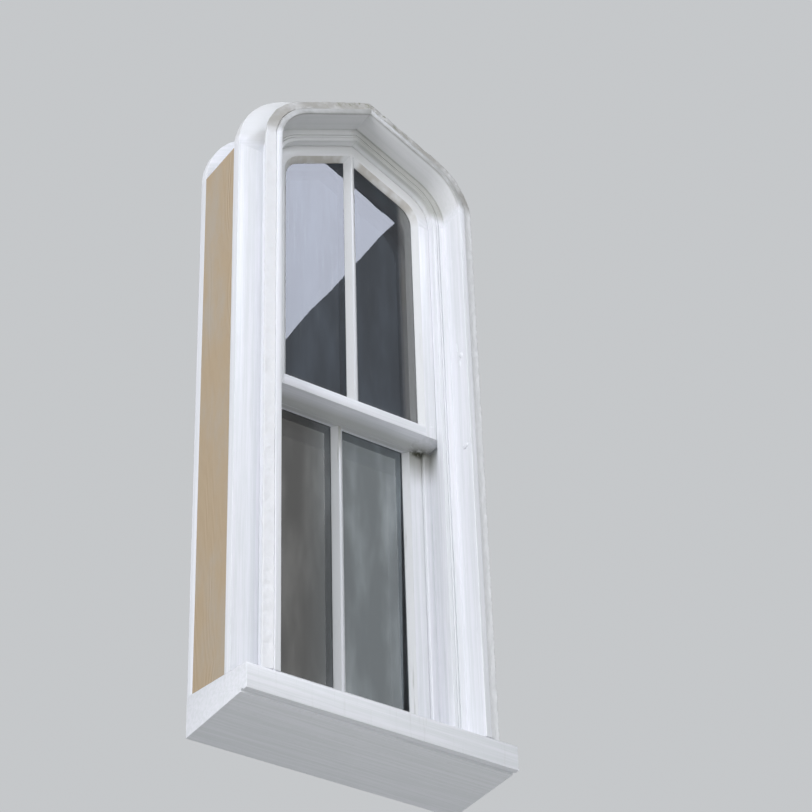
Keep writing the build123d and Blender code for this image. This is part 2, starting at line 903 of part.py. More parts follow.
def pulley_case(pulley_y):
    """Adds a faceplate with its slot, two cheeks, the bridge over the wheel and the axle."""
    case_back = wheel_x + cheek_reach
    slot_half = wheel_radius + case_clearance
    with BuildSketch(Plane.YZ.offset(pulley_face)) as plate:
        with Locations((pulley_y, pulley_z)):
            SlotOverall(faceplate_height, faceplate_width, rotation=90)
            Rectangle(cheek_gap, 2 * slot_half, mode=Mode.SUBTRACT)
        with Locations(
            (pulley_y, pulley_z - faceplate_screw_pitch / 2),
            (pulley_y, pulley_z + faceplate_screw_pitch / 2),
        ):
            Circle(faceplate_screw_radius, mode=Mode.SUBTRACT)
    extrude(plate.sketch, faceplate_thickness)
    with BuildSketch(facade(pulley_y + cheek_gap / 2 + cheek_thickness)) as cheek:
        with BuildLine() as cheek_outline:
            plate_back = pulley_face + faceplate_thickness
            Polyline(
                (wheel_x, pulley_z + cheek_reach),
                (plate_back, pulley_z + cheek_reach),
                (plate_back, pulley_z - cheek_reach),
                (wheel_x, pulley_z - cheek_reach),
            )
            CenterArc((wheel_x, pulley_z), cheek_reach, -90, 180)
        make_face(cheek_outline.edges())
    extrude(cheek.sketch, cheek_gap + 2 * cheek_thickness)
    with BuildSketch(facade(pulley_y + cheek_gap / 2)) as hollow:
        with BuildLine() as hollow_outline:
            inner = cheek_reach - cheek_thickness
            Polyline(
                (wheel_x, pulley_z + inner),
                (plate_back, pulley_z + inner),
                (plate_back, pulley_z - cheek_reach),
                (case_back, pulley_z - cheek_reach),
                (case_back, pulley_z),
                (wheel_x + inner, pulley_z),
            )
            CenterArc((wheel_x, pulley_z), inner, 0, 90)
        make_face(hollow_outline.edges())
    extrude(hollow.sketch, cheek_gap, mode=Mode.SUBTRACT)
    with Locations((wheel_x, pulley_y, pulley_z)):
        Cylinder(axle_radius, cheek_gap + 2 * cheek_thickness, rotation=(90, 0, 0))


# Pulleys: two cases in each pulley stile, with a grooved wheel on the axle of each
with BuildPart() as pulley_cases:
    for pulley_y in pulley_centres():
        pulley_case(pulley_y)
save_pair(pulley_cases, "pulley_cases")


def pulley_wheel(pulley_y):
    """A grooved wheel, thinner between its hub and its rim."""
    with BuildPart() as wheel:
        with Locations((wheel_x, pulley_y, pulley_z)):
            Cylinder(wheel_radius, wheel_width, rotation=(90, 0, 0))
            Torus(
                pitch_radius,
                cord_diameter / 2 + cord_gap,
                rotation=(90, 0, 0),
                mode=Mode.SUBTRACT,
            )
        rim_inner = wheel_groove_radius - wheel_rim_depth
        for side in (-1, 1):
            recess_depth = (wheel_width - wheel_web_width) / 2
            recess_y = pulley_y + side * (wheel_width - recess_depth) / 2
            with Locations((wheel_x, recess_y, pulley_z)):
                Cylinder(rim_inner, recess_depth, rotation=(90, 0, 0), mode=Mode.SUBTRACT)
                Cylinder(wheel_hub_radius, recess_depth, rotation=(90, 0, 0))
        with Locations((wheel_x, pulley_y, pulley_z)):
            Cylinder(
                axle_radius + axle_play, wheel_width, rotation=(90, 0, 0), mode=Mode.SUBTRACT
            )
    return wheel


def sash_weight(weight_y, top_z, length):
    """A cast weight with a neck that is bored for the cord and cut away for its knot."""
    shoulder_z = top_z - weight_neck_height
    hole_radius = cord_diameter / 2 + weight_hole_gap
    pocket_top = top_z - (weight_neck_height - weight_pocket_height) / 2
    with BuildPart() as weight:
        with BuildSketch(Plane.XZ):
            with BuildLine():
                Polyline(
                    (0, top_z),
                    (weight_neck_radius, top_z),
                    (weight_neck_radius, shoulder_z),
                    (weight_radius, shoulder_z - weight_shoulder),
                    (weight_radius, top_z - length + weight_round),
                    (weight_radius - weight_round, top_z - length),
                    (0, top_z - length),
                    close=True,
                )
            make_face()
        revolve(axis=Axis.Z)
        with Locations((0, 0, top_z)):
            Cylinder(
                hole_radius,
                weight_neck_height / 2,
                align=(Align.CENTER, Align.CENTER, Align.MAX),
                mode=Mode.SUBTRACT,
            )
        with Locations((0, 0, pocket_top)):
            Box(
                2 * weight_radius,
                weight_pocket_width,
                weight_pocket_height,
                align=(Align.CENTER, Align.CENTER, Align.MAX),
                mode=Mode.SUBTRACT,
            )
    with BuildPart() as placed:
        add(Pos(weight_x, weight_y, 0) * weight.part)
    return placed, pocket_top - knot_rest


def sash_cord(cord_y, sash_knot_z, weight_knot_z):
    """A cord from the knot in the stile, over the wheel and down to the knot in the weight."""
    with BuildPart() as cord:
        with BuildLine(facade(cord_y)) as route:
            Line((cord_x, sash_knot_z), (cord_x, pulley_z))
            CenterArc((wheel_x, pulley_z), pitch_radius, 180, -180)
            Line((weight_x, pulley_z), (weight_x, weight_knot_z))
        with BuildSketch(Plane.XY.offset(sash_knot_z)) as section:
            with Locations((cord_x, cord_y)):
                Circle(cord_diameter / 2)
        sweep(section.sketch, path=route.line)
        with Locations((sash_knot_x, cord_y, sash_knot_z), (weight_x, cord_y, weight_knot_z)):
            Sphere(knot_radius)
    return cord


# Each sash has a weight, a wheel and a cord in the box on either side
for sash, pulley_y, knot_z, weight_top, weight_length in (
    ("upper", pulley_centres()[0], upper_knot_z, upper_weight_top, upper_weight_length),
    ("lower", pulley_centres()[1], lower_knot_z, lower_weight_top, lower_weight_length),
):
    save_pair(pulley_wheel(pulley_y), f"{sash}_wheel")
    weight, weight_knot_z = sash_weight(pulley_y, weight_top, weight_length)
    save_pair(weight, f"{sash}_weight")
    sash_knot_z = knot_z + knot_pocket_radius - knot_radius - cord_gap
    save_pair(sash_cord(pulley_y, sash_knot_z, weight_knot_z), f"{sash}_cord")

# Sash fastener: plate and boss on the lower meeting rail, lever on its pin, keep on the upper rail
pivot_y = bevel_top + fastener_pivot_setback
boss_top = meeting_top + fastener_plate_thickness + fastener_boss_height
lever_z = boss_top + lever_gap

with BuildPart() as fastener_base:
    with BuildSketch(Plane.XY.offset(meeting_top)):
        with Locations((fastener_x, pivot_y)):
            SlotOverall(fastener_plate_length, fastener_plate_width)
    extrude(amount=fastener_plate_thickness)
    with Locations((fastener_x, pivot_y, meeting_top)):
        Cylinder(
            fastener_boss_radius,
            boss_top - meeting_top,
            align=(Align.CENTER, Align.CENTER, Align.MIN),
        )
        Cylinder(
            fastener_pin_radius,
            lever_z + lever_thickness - meeting_top,
            align=(Align.CENTER, Align.CENTER, Align.MIN),
        )
save(fastener_base, "fastener_base")

with BuildPart() as fastener_lever:
    pivot = (fastener_x, pivot_y)
    crescent_start = crescent_bearing - crescent_sweep / 2
    web_start = crescent_start - crescent_web_sweep
    with BuildSketch(Plane.XY.offset(lever_z)):
        with BuildLine():
            outer_arc = CenterArc(
                pivot, crescent_outer, web_start, crescent_sweep + crescent_web_sweep
            )
            inner_arc = CenterArc(pivot, crescent_inner, crescent_start, crescent_sweep)
            Line(outer_arc @ 1, inner_arc @ 1)
            Line(inner_arc @ 0, pivot)
            Line(pivot, outer_arc @ 0)
        make_face()
        with Locations(pivot):
            Circle(fastener_boss_radius)
        with Locations((fastener_x, pivot_y + lever_arm_length / 2)):
            SlotOverall(lever_arm_length + lever_arm_width, lever_arm_width, rotation=90)
        with Locations(pivot):
            Circle(fastener_pin_radius + fastener_pin_play, mode=Mode.SUBTRACT)
    extrude(amount=lever_thickness)
    with Locations((fastener_x, pivot_y + lever_arm_length, lever_z)):
        Cylinder(
            lever_knob_radius,
            lever_knob_height,
            align=(Align.CENTER, Align.CENTER, Align.MIN),
        )
save(fastener_lever, "fastener_lever")

with BuildPart() as fastener_keep:
    keep_back = bevel_top - meeting_gap / 2 - keep_plate_setback
    with BuildSketch(Plane.XY.offset(meeting_top)):
        with Locations((fastener_x, keep_back)):
            Rectangle(keep_plate_length, keep_plate_depth, align=(Align.CENTER, Align.MAX))
    extrude(amount=fastener_plate_thickness)
    keep_post_front = pivot_y - crescent_inner + keep_post_gap
    with Locations((fastener_x, keep_post_front, meeting_top)):
        Box(
            keep_post_width,
            keep_post_depth,
            keep_post_height,
            align=(Align.CENTER, Align.MIN, Align.MIN),
        )
save(fastener_keep, "fastener_keep")

# Sash lifts: two hooked lifts on the room face of the bottom rail
with BuildPart() as sash_lifts:
    lift_z = bottom_sight_z - ovolo_radius - lift_drop
    with BuildSketch(Plane.YZ) as lift_section:
        with BuildLine():
            plate_face = lower_back + lift_plate_thickness
            hook_y = lower_back + lift_reach - lift_hook_radius
            Polyline(
                (hook_y, lift_z),
                (plate_face, lift_z),
                (plate_face, lift_z + lift_height / 2),
                (lower_back, lift_z + lift_height / 2),
                (lower_back, lift_z - lift_height / 2),
                (plate_face, lift_z - lift_height / 2),
                (plate_face, lift_z - lift_plate_thickness),
                (hook_y, lift_z - lift_plate_thickness),
            )
            outer_hook = CenterArc(
                (hook_y, lift_z + lift_hook_radius - lift_plate_thickness), lift_hook_radius, -90, 110
            )
            inner_hook = CenterArc(
                (hook_y, lift_z + lift_hook_radius - lift_plate_thickness),
                lift_hook_radius - lift_plate_thickness,
                -90,
                110,
            )
            Line(outer_hook @ 1, inner_hook @ 1)
        make_face()
    for side in (-1, 1):
        with Locations((side * lift_spacing / 2, 0, 0)):
            add(extrude(lift_section.sketch, lift_width / 2, both=True, mode=Mode.PRIVATE))
save(sash_lifts, "sash_lifts")
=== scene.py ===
import json
import logging
import math
from dataclasses import dataclass
from enum import Enum
from typing import Callable, Iterable, Sequence, Union

import bmesh
import bpy
from bmesh.types import BMEdge, BMesh, BMVert
from bpy.types import Material, Node, NodeTree, Object
from mathutils import Matrix, Vector, noise

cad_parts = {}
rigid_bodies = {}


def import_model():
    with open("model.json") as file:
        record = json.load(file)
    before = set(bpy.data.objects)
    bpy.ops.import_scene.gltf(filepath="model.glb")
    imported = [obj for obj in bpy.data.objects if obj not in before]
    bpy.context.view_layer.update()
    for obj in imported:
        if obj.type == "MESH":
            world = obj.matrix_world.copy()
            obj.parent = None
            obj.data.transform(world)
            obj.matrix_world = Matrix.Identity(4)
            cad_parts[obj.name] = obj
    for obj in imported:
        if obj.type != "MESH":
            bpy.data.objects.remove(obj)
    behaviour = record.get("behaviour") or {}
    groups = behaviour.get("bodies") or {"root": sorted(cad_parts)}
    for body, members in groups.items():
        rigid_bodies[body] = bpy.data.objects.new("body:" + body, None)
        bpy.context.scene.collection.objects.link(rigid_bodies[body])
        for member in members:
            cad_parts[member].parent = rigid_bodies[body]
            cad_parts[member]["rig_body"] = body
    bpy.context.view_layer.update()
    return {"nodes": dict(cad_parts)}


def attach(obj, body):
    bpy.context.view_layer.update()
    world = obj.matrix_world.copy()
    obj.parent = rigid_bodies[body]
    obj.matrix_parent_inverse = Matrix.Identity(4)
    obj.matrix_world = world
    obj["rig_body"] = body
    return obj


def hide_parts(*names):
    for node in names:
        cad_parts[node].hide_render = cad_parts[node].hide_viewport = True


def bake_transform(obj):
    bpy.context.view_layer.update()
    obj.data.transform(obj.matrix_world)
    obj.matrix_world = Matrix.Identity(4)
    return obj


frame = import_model()
LOG = logging.getLogger("sash_window")

Socket = bpy.types.NodeSocket
Value = Union[Socket, float, Sequence[float]]
Colour = tuple[float, float, float]
Point = tuple[float, float, float]
Span = tuple[float, float]

MM = 0.001
SIDES = ("left", "right")
SPRINGING = 1222.5 * MM
HEAD_SLOPE = math.radians(26)
SHARP_EDGE = math.radians(32)
FLAT_EDGE = math.radians(0.6)
WELD = 0.005 * MM
BRUSHED = 0.018
ALONG_X = (BRUSHED, 1.0, 1.0)
OUTWARD = (0, -1, 0)


class Run(Enum):
    """Which way a member runs, and so its brush marks."""

    UPRIGHT = "upright"
    ACROSS = "across"
    HEAD = "head"


class Graph:
    """Adds and joins the nodes of one tree."""

    def __init__(self, tree: NodeTree) -> None:
        """Starts on a material's tree or a node group."""
        self.tree = tree
        self.count = 0

    def feed(self, socket: Socket, value: Value) -> None:
        """Joins a socket to another, or sets its value."""
        if isinstance(value, Socket):
            self.tree.links.new(value, socket)
        elif isinstance(value, (int, float)):
            socket.default_value = value
        elif len(value) == 3 and socket.type == "RGBA":
            socket.default_value = (*value, 1.0)
        else:
            socket.default_value = value

    def add(self, kind: str, inputs: dict[str, Value] | None = None, **settings: object) -> Node:
        """Adds a node.

        Args:
            kind: The node's type name without its ShaderNode prefix.
            inputs: Socket name, or index as text, to value.
            **settings: Attributes of the node.

        Returns:
            The new node.
        """
        node = self.tree.nodes.new("ShaderNode" + kind)
        node.location = (220 * (self.count % 12), -260 * (self.count // 12))
        self.count += 1
        for name, value in settings.items():
            setattr(node, name, value)
        for name, value in (inputs or {}).items():
            self.feed(node.inputs[int(name) if name.isdigit() else name], value)
        return node

    def math(self, operation: str, *values: Value, clamp: bool = False) -> Socket:
        """The result of a Math node on up to three values."""
        inputs = {str(i): value for i, value in enumerate(values)}
        return self.add("Math", inputs, operation=operation, use_clamp=clamp).outputs[0]

    def times(self, value: Value, *others: Value) -> Value:
        """The product of several values."""
        for other in others:
            value = self.math("MULTIPLY", value, other)
        return value

    def line(self, value: Value, slope: Value, start: Value) -> Socket:
        """A value times a slope, plus a start."""
        return self.math("MULTIPLY_ADD", value, slope, start)

    def less(self, value: Value) -> Socket:
        """One minus a value."""
        return self.math("SUBTRACT", 1.0, value)

    def fade(self, value: Value, low: float, high: float) -> Socket:
        """0 at low and 1 at high, eased between them."""
        inputs = {"Value": value, "From Min": low, "From Max": high}
        return self.add("MapRange", inputs, interpolation_type="SMOOTHSTEP").outputs[0]

    def band(self, value: Value, rise: Span, fall: Span) -> Socket:
        """Eased up to 1 over one span and back to 0 over another."""
        return self.math("SUBTRACT", self.fade(value, *rise), self.fade(value, *fall))

    def axis(self, vector: Value, index: int) -> Socket:
        """One part of a vector: 0 is to the right, 1 inward and 2 up."""
        return self.add("SeparateXYZ", {"0": vector}).outputs[index]

    def scaled(self, vector: Value, scale: Sequence[float]) -> Socket:
        """A vector times a scale for each axis."""
        inputs = {"Vector": vector, "Scale": tuple(scale)}
        return self.add("Mapping", inputs, vector_type="POINT").outputs[0]

    def drawn(self, vector: Value, share: float) -> Socket:
        """A vector with its height scaled, which draws a pattern out upright."""
        return self.scaled(vector, (1.0, 1.0, share))

    def multiple(self, vector: Value, number: Value) -> Socket:
        """A vector or colour times a number."""
        return self.add("VectorMath", {"0": vector, "Scale": number}, operation="SCALE").outputs[0]

    def cloud(self, vector: Value, scale: float, detail: float = 3.0, rough: float = 0.5) -> Socket:
        """A noise from 0 to 1 on a vector."""
        inputs = {"Vector": vector, "Scale": scale, "Detail": detail, "Roughness": rough}
        return self.add("TexNoise", inputs).outputs[0]

    def mix(self, amount: Value, first: Value, second: Value) -> Socket:
        """Two colours mixed by an amount."""
        inputs = {"0": amount, "6": first, "7": second}
        return self.add("Mix", inputs, data_type="RGBA", clamp_factor=True).outputs[2]

    def blended(self, amount: Value, first: Value, second: Value) -> Socket:
        """Two vectors mixed by an amount."""
        return self.add("Mix", {"0": amount, "4": first, "5": second}, data_type="VECTOR").outputs[1]

    def near(self, position: Value, place: Sequence[float], reach: float) -> Socket:
        """1 at a place, eased to 0 at a reach from it."""
        apart = self.add("VectorMath", {"0": position, "1": tuple(place)}, operation="DISTANCE")
        return self.less(self.fade(apart.outputs["Value"], 0.0, reach))


class Effects:
    """The node groups that more than one finish uses."""

    def __init__(self) -> None:
        """Builds every shared effect once."""
        self.trees: dict[str, NodeTree] = {}
        for build, inputs, outputs in (
            (self.head_flow, ["Position"], ["Vector"]),
            (self.brushing, ["Position", "Vector"], ["Streak", "Height"]),
            (self.soiling, ["Position", "Amount"], ["Mask"]),
            (self.grain, ["Position"], ["Ring", "Knot", "Height"]),
            (self.casting, ["Position", "Scale"], ["Patch", "Height"]),
            (self.tarnish, ["Position"], ["Mask", "Height"]),
        ):
            self.add(build, inputs, outputs)

    def add(self, build: Callable[..., list[Socket]], inputs: list[str], outputs: list[str]) -> None:
        """Makes one group, whose name is its builder's.

        Args:
            build: Given a Graph and the inputs, adds the nodes and gives the outputs.
            inputs: Socket names, where Position and Vector are vectors and others numbers.
            outputs: Socket names, likewise.
        """
        tree = bpy.data.node_groups.new(build.__name__, "ShaderNodeTree")
        for way, labels in (("INPUT", inputs), ("OUTPUT", outputs)):
            for label in labels:
                kind = "NodeSocketVector" if label in ("Position", "Vector") else "NodeSocketFloat"
                tree.interface.new_socket(label, in_out=way, socket_type=kind)
        enter = tree.nodes.new("NodeGroupInput")
        leave = tree.nodes.new("NodeGroupOutput")
        g = Graph(tree)
        results = build(g, *enter.outputs[: len(inputs)])
        for socket, value in zip(leave.inputs[: len(outputs)], results):
            g.feed(socket, value)
        self.trees[build.__name__] = tree

    def head_flow(self, g: Graph, position: Socket) -> list[Socket]:
        """Coordinates that run along both slopes of the head, away from the apex."""
        out, up = g.math("ABSOLUTE", g.axis(position, 0)), g.axis(position, 2)
        cosine, sine = math.cos(HEAD_SLOPE), math.sin(HEAD_SLOPE)
        along = g.math("SUBTRACT", g.times(out, cosine), g.times(up, sine))
        across = g.math("ADD", g.times(out, sine), g.times(up, cosine))
        return [g.add("CombineXYZ", {"0": along, "1": g.axis(position, 1), "2": across}).outputs[0]]

    def brushing(self, g: Graph, position: Socket, flow: Socket) -> list[Socket]:
        """Ridges left by a brush: fine bristle lines, broader laps and slow waves of thickness."""
        bristle = g.cloud(flow, 800.0, 2.0, 0.6)
        lap = g.cloud(flow, 150.0, 2.0, 0.5)
        wave = g.cloud(position, 38.0, 2.0, 0.5)
        streak = g.line(lap, 0.6, g.times(bristle, 0.4))
        return [streak, g.line(wave, 1.6, streak)]

    def soiling(self, g: Graph, position: Socket, amount: Socket) -> list[Socket]:
        """Dirt that lies in patches, runs down the face and gathers low on the window."""
        runs = g.fade(g.cloud(g.drawn(position, 0.05), 130.0, 4.0, 0.65), 0.56, 0.78)
        patch = g.fade(g.cloud(position, 5.5, 4.0, 0.6), 0.42, 0.72)
        speck = g.fade(g.cloud(position, 420.0, 2.0, 0.6), 0.68, 0.80)
        low = g.less(g.fade(g.axis(position, 2), 0.05, 0.32))
        spread = g.times(runs, g.line(low, 0.8, g.times(patch, 0.7)))
        total = g.math("ADD", spread, g.times(speck, 0.35))
        return [g.math("MULTIPLY", total, amount, clamp=True)]

    def grain(self, g: Graph, position: Socket) -> list[Socket]:
        """Growth rings, knots and pores of a sawn softwood board that stands upright."""
        cells = {"Vector": g.drawn(position, 0.32), "Scale": 7.0, "Randomness": 1.0}
        apart = g.add("TexVoronoi", cells).outputs["Distance"]
        near_knot = g.less(g.fade(apart, 0.0, 0.42))
        across = g.line(near_knot, 0.018, g.math("ADD", g.axis(position, 0), g.axis(position, 1)))
        sway = g.cloud(g.drawn(position, 0.10), 14.0, 2.0)
        ring = g.math("FRACT", g.times(g.line(sway, 0.030, across), 260.0))
        ring = g.times(g.fade(ring, 0.15, 0.85), g.less(g.fade(ring, 0.90, 1.0)))
        pore = g.cloud(g.drawn(position, 0.03), 1100.0, 2.0, 0.7)
        knot = g.less(g.fade(apart, 0.035, 0.075))
        return [g.line(pore, 0.35, g.times(ring, 0.65)), knot, g.math("SUBTRACT", pore, knot)]

    def casting(self, g: Graph, position: Socket, scale: Socket) -> list[Socket]:
        """The sandy skin of a rough surface, with soft patches."""
        fine = g.cloud(position, 600.0, 3.0, 0.6)
        patch = g.cloud(g.multiple(position, scale), 1.0, 5.0, 0.6)
        return [g.fade(patch, 0.38, 0.66), g.line(patch, 1.5, fine)]

    def tarnish(self, g: Graph, position: Socket) -> list[Socket]:
        """Dulled patches and fine rubbing marks on metal."""
        patch = g.fade(g.cloud(position, 95.0, 5.0, 0.65), 0.40, 0.68)
        rub = g.cloud(g.scaled(position, (1.0, 0.08, 1.0)), 1500.0, 2.0, 0.5)
        return [g.line(rub, 0.25, g.times(patch, 0.8)), rub]


class Surface(Graph):
    """The graph of a material, with its Object coordinates and the shared effects."""

    def __init__(self, material: Material, effects: Effects) -> None:
        """Starts on an empty material."""
        super().__init__(material.node_tree)
        self.effects = effects
        self.position = self.add("TexCoord").outputs["Object"]
        self.aside, self.inward, self.height = self.add("SeparateXYZ", {"0": self.position}).outputs

    def effect(self, name: str, **inputs: Value) -> bpy.types.bpy_prop_collection:
        """Places a shared effect and gives its outputs."""
        inputs["Position"] = self.position
        return self.add("Group", inputs, node_tree=self.effects.trees[name]).outputs

    def shade(
        self, colour: Value, rough: Value, height: Value, depth: float, **more: Value
    ) -> tuple[Node, Node]:
        """Adds the Principled shader with its bump, and the output.

        Args:
            colour: The base colour.
            rough: The roughness.
            height: The height that bumps the surface.
            depth: What a height of one stands for, in metres.
            **more: Other inputs of the shader, with underscores for spaces.

        Returns:
            The shader and the output.
        """
        bump = self.add("Bump", {"Height": height, "Distance": depth, "Strength": 1.0})
        inputs = {"Base Color": colour, "Roughness": rough, "Normal": bump.outputs[0]}
        inputs.update({name.replace("_", " "): value for name, value in more.items()})
        shader = self.add("BsdfPrincipled", inputs)
        return shader, self.add("OutputMaterial", {"0": shader.outputs[0]})


def new_material(name: str) -> Material:
    """A material with an empty tree."""
    material = bpy.data.materials.new(name)
    material.use_nodes = True
    material.node_tree.nodes.clear()
    return material


@dataclass(frozen=True)
class Finish:
    """What all finishes have: a name, and nodes that each kind adds in its own way."""

    name: str

    def make(self, effects: Effects) -> Material:
        """The finish as a material."""
        material = new_material(self.name)
        self.fill(Surface(material, effects))
        return material

    def fill(self, g: Surface) -> None:
        """Adds the finish's nodes."""
        raise NotImplementedError


@dataclass(frozen=True)
class PaintFinish(Finish):
    """White satin paint on timber, brushed on by hand and a little weathered, with painted shade at the
    head, on the outer head lining and under the meeting rail.
    """

    run: Run
    colour: Colour = (0.855, 0.858, 0.900)
    thin: Colour = (0.772, 0.790, 0.812)
    # painted shade: the outside of the head above the springing is made greyer, standing in for shade from
    # above
    arch_tone: Colour = (0.700, 0.700, 0.680)
    soil: Colour = (0.400, 0.390, 0.340)
    # painted shade with some dirt on the head's front edge, where a wall above would shade it
    weathered: Colour = (0.300, 0.300, 0.280)
    # painted shade, laid on the outer head lining's front face and under the meeting rail
    sheltered: Colour = (0.375, 0.378, 0.345)
    damp: Colour = (0.075, 0.075, 0.045)
    damp_place: Point = (0.1725, 0.0320, 0.7035)
    damp_reach: float = 28.0 * MM
    damp_flatness: float = 2.2
    # where the painted shade under the meeting rail meets the rail, and how far down it fades
    rail_soffit: float = 704.5 * MM
    rail_shade: float = 90.0 * MM
    channel_start: Span = (-12.0 * MM, 16.0 * MM)
    channel_end: Span = (36.0 * MM, 42.0 * MM)
    # heights over which the painted shade of the head fades in
    stale_heights: Span = (SPRINGING + 8.0 * MM, SPRINGING + 34.0 * MM)
    front_edge: Span = (-96.5 * MM, -91.5 * MM)
    # depths of the outer head lining's front face, where painted shade is laid
    lining_start: Span = (-48.0 * MM, -44.5 * MM)
    lining_end: Span = (-41.0 * MM, -30.0 * MM)
    right_half: Span = (-20.0 * MM, 20.0 * MM)
    soil_amount: float = 0.20
    gloss: float = 0.31
    depth: float = 0.26 * MM

    def flow(self, g: Surface) -> Socket:
        """Coordinates drawn out along the member, as the brush went."""
        if self.run is Run.ACROSS:
            return g.scaled(g.position, ALONG_X)
        arch = g.fade(g.height, SPRINGING - 0.5 * MM, SPRINGING + 0.5 * MM)
        sloping = g.scaled(g.effect("head_flow")["Vector"], ALONG_X)
        return g.blended(arch, g.drawn(g.position, BRUSHED), sloping)

    def aged(self, g: Surface, paint: Socket, outside: Socket) -> Socket:
        """Lays painted shade on the paint: over the head, on its front edge with some dirt, on the outer
        head lining and under the meeting rail.

        Args:
            g: The material's graph.
            paint: The paint's colour.
            outside: 1 outside the window and 0 in the room.

        Returns:
            The colour with its painted shade.
        """
        # painted shade over the outside of the head, above the springing
        stale = g.fade(g.height, *self.stale_heights)
        paint = g.mix(g.times(stale, outside, 0.55), paint, self.arch_tone)
        # the head's front edge: painted shade with some dirt
        uneven = g.line(g.cloud(g.position, 30.0, 4.0, 0.6), 0.9, 0.2)
        front = g.less(g.fade(g.inward, *self.front_edge))
        paint = g.mix(g.times(front, stale, uneven), paint, self.weathered)
        # painted shade on the outer head lining's front face, stronger on the right slope
        lining = g.band(g.inward, self.lining_start, self.lining_end)
        right = g.fade(g.aside, *self.right_half)
        paint = g.mix(g.times(lining, g.line(right, 0.62, 0.08), stale), paint, self.sheltered)
        # painted shade below the meeting rail on the lower sash and its channels, darkest just under the
        # rail
        under = g.less(g.fade(g.height, self.rail_soffit - 0.2 * MM, self.rail_soffit + 0.3 * MM))
        under = g.times(under, g.fade(g.height, self.rail_soffit - self.rail_shade, self.rail_soffit))
        channel = g.band(g.inward, self.channel_start, self.channel_end)
        under = g.times(g.math("MULTIPLY", under, channel, clamp=True), 0.90)
        return g.mix(under, paint, self.sheltered)

    def fill(self, g: Surface) -> None:
        """Adds brush marks, painted shade, dirt and the damp stain."""
        brush = g.effect("brushing", Vector=self.flow(g))
        soil = g.effect("soiling", Amount=self.soil_amount)
        outside = g.less(g.fade(g.inward, 0.0, 0.05))
        dirt = g.times(soil["Mask"], outside)
        paint = g.mix(g.fade(brush["Streak"], 0.40, 0.62), self.thin, self.colour)
        colour = g.mix(dirt, self.aged(g, paint, outside), self.soil)
        x, y, z = self.damp_place
        flat = g.drawn(g.position, self.damp_flatness)
        stain = g.near(flat, (x, y, z * self.damp_flatness), self.damp_reach)
        blot = g.fade(g.cloud(g.position, 150.0, 4.0, 0.6), 0.36, 0.50)
        colour = g.mix(g.times(blot, stain), colour, self.damp)
        rough = g.line(dirt, 0.35, g.line(brush["Streak"], 0.14, self.gloss - 0.05))
        g.shade(colour, rough, brush["Height"], self.depth)


@dataclass(frozen=True)
class BareTimberFinish(Finish):
    """Sawn softwood, never painted, greyed and dusty with age."""

    early: Colour = (0.560, 0.455, 0.315)
    late: Colour = (0.330, 0.225, 0.130)
    knot: Colour = (0.150, 0.085, 0.045)
    dust: Colour = (0.430, 0.410, 0.370)
    depth: float = 0.25 * MM

    def fill(self, g: Surface) -> None:
        """Adds grain, knots and dust."""
        grain = g.effect("grain")
        colour = g.mix(grain["Ring"], self.early, self.late)
        colour = g.mix(g.times(grain["Knot"], 0.85), colour, self.knot)
        grime = g.fade(g.cloud(g.drawn(g.position, 0.4), 11.0, 5.0, 0.65), 0.40, 0.75)
        colour = g.mix(g.times(grime, 0.55), colour, self.dust)
        rough = g.line(grain["Ring"], 0.12, 0.70)
        g.shade(colour, rough, grain["Height"], self.depth)


@dataclass(frozen=True)
class GlassFinish(Finish):
    """Drawn window glass, tinted dark as painted shade of the dark room behind it, slightly wavy, with a
    thin film of dirt.
    """

    # painted shade: these tints stand in for the dark room behind the glass, darkest in the upper panes
    upper_tint: Colour = (0.050, 0.060, 0.076)
    lower_left_tint: Colour = (0.132, 0.128, 0.122)
    lower_right_tint: Colour = (0.240, 0.262, 0.272)
    margin_tint: Colour = (0.375, 0.368, 0.358)
    film: Colour = (0.360, 0.370, 0.360)
    clear: Colour = (0.860, 0.890, 0.880)
    haze: float = 0.85
    left_to_right: Span = (-0.09, 0.05)
    lower_to_upper: Span = (0.70, 0.75)
    margin: Span = (110.0 * MM, 124.0 * MM)
    depth: float = 0.22 * MM

    def fill(self, g: Surface) -> None:
        """Adds tints that paint the shade of the dark room behind, lighter near the upper right pane's right
        edge, haze, film and waves, and lets light through as clear glass does.
        """
        soil = g.effect("soiling", Amount=0.8)["Mask"]
        # painted shade of the room behind, varied by pane and lighter near the upper right pane's right edge
        room_shade_tint = g.mix(g.fade(g.aside, *self.left_to_right), self.lower_left_tint, self.lower_right_tint)
        upper = g.fade(g.height, *self.lower_to_upper)
        room_shade_tint = g.mix(upper, room_shade_tint, self.upper_tint)
        cloudy = g.fade(g.cloud(g.drawn(g.position, 0.22), 17.0, 3.0, 0.55), 0.38, 0.74)
        room_shade_tint = g.multiple(room_shade_tint, g.line(cloudy, self.haze, 1.0))
        room_shade_tint = g.mix(g.times(upper, g.fade(g.aside, *self.margin)), room_shade_tint, self.margin_tint)
        wave = g.cloud(g.drawn(g.position, 0.45), 7.0, 1.0, 0.4)
        shader, output = g.shade(
            g.mix(soil, room_shade_tint, self.film), g.times(soil, 0.06), wave, self.depth,
            Transmission_Weight=1.0, IOR=1.5,
        )
        shadow = g.add("LightPath").outputs["Is Shadow Ray"]
        through = g.add("BsdfTransparent", {"Color": self.clear})
        mixed = g.add("MixShader", {"0": shadow, "1": shader.outputs[0], "2": through.outputs[0]})
        g.feed(output.inputs[0], mixed.outputs[0])


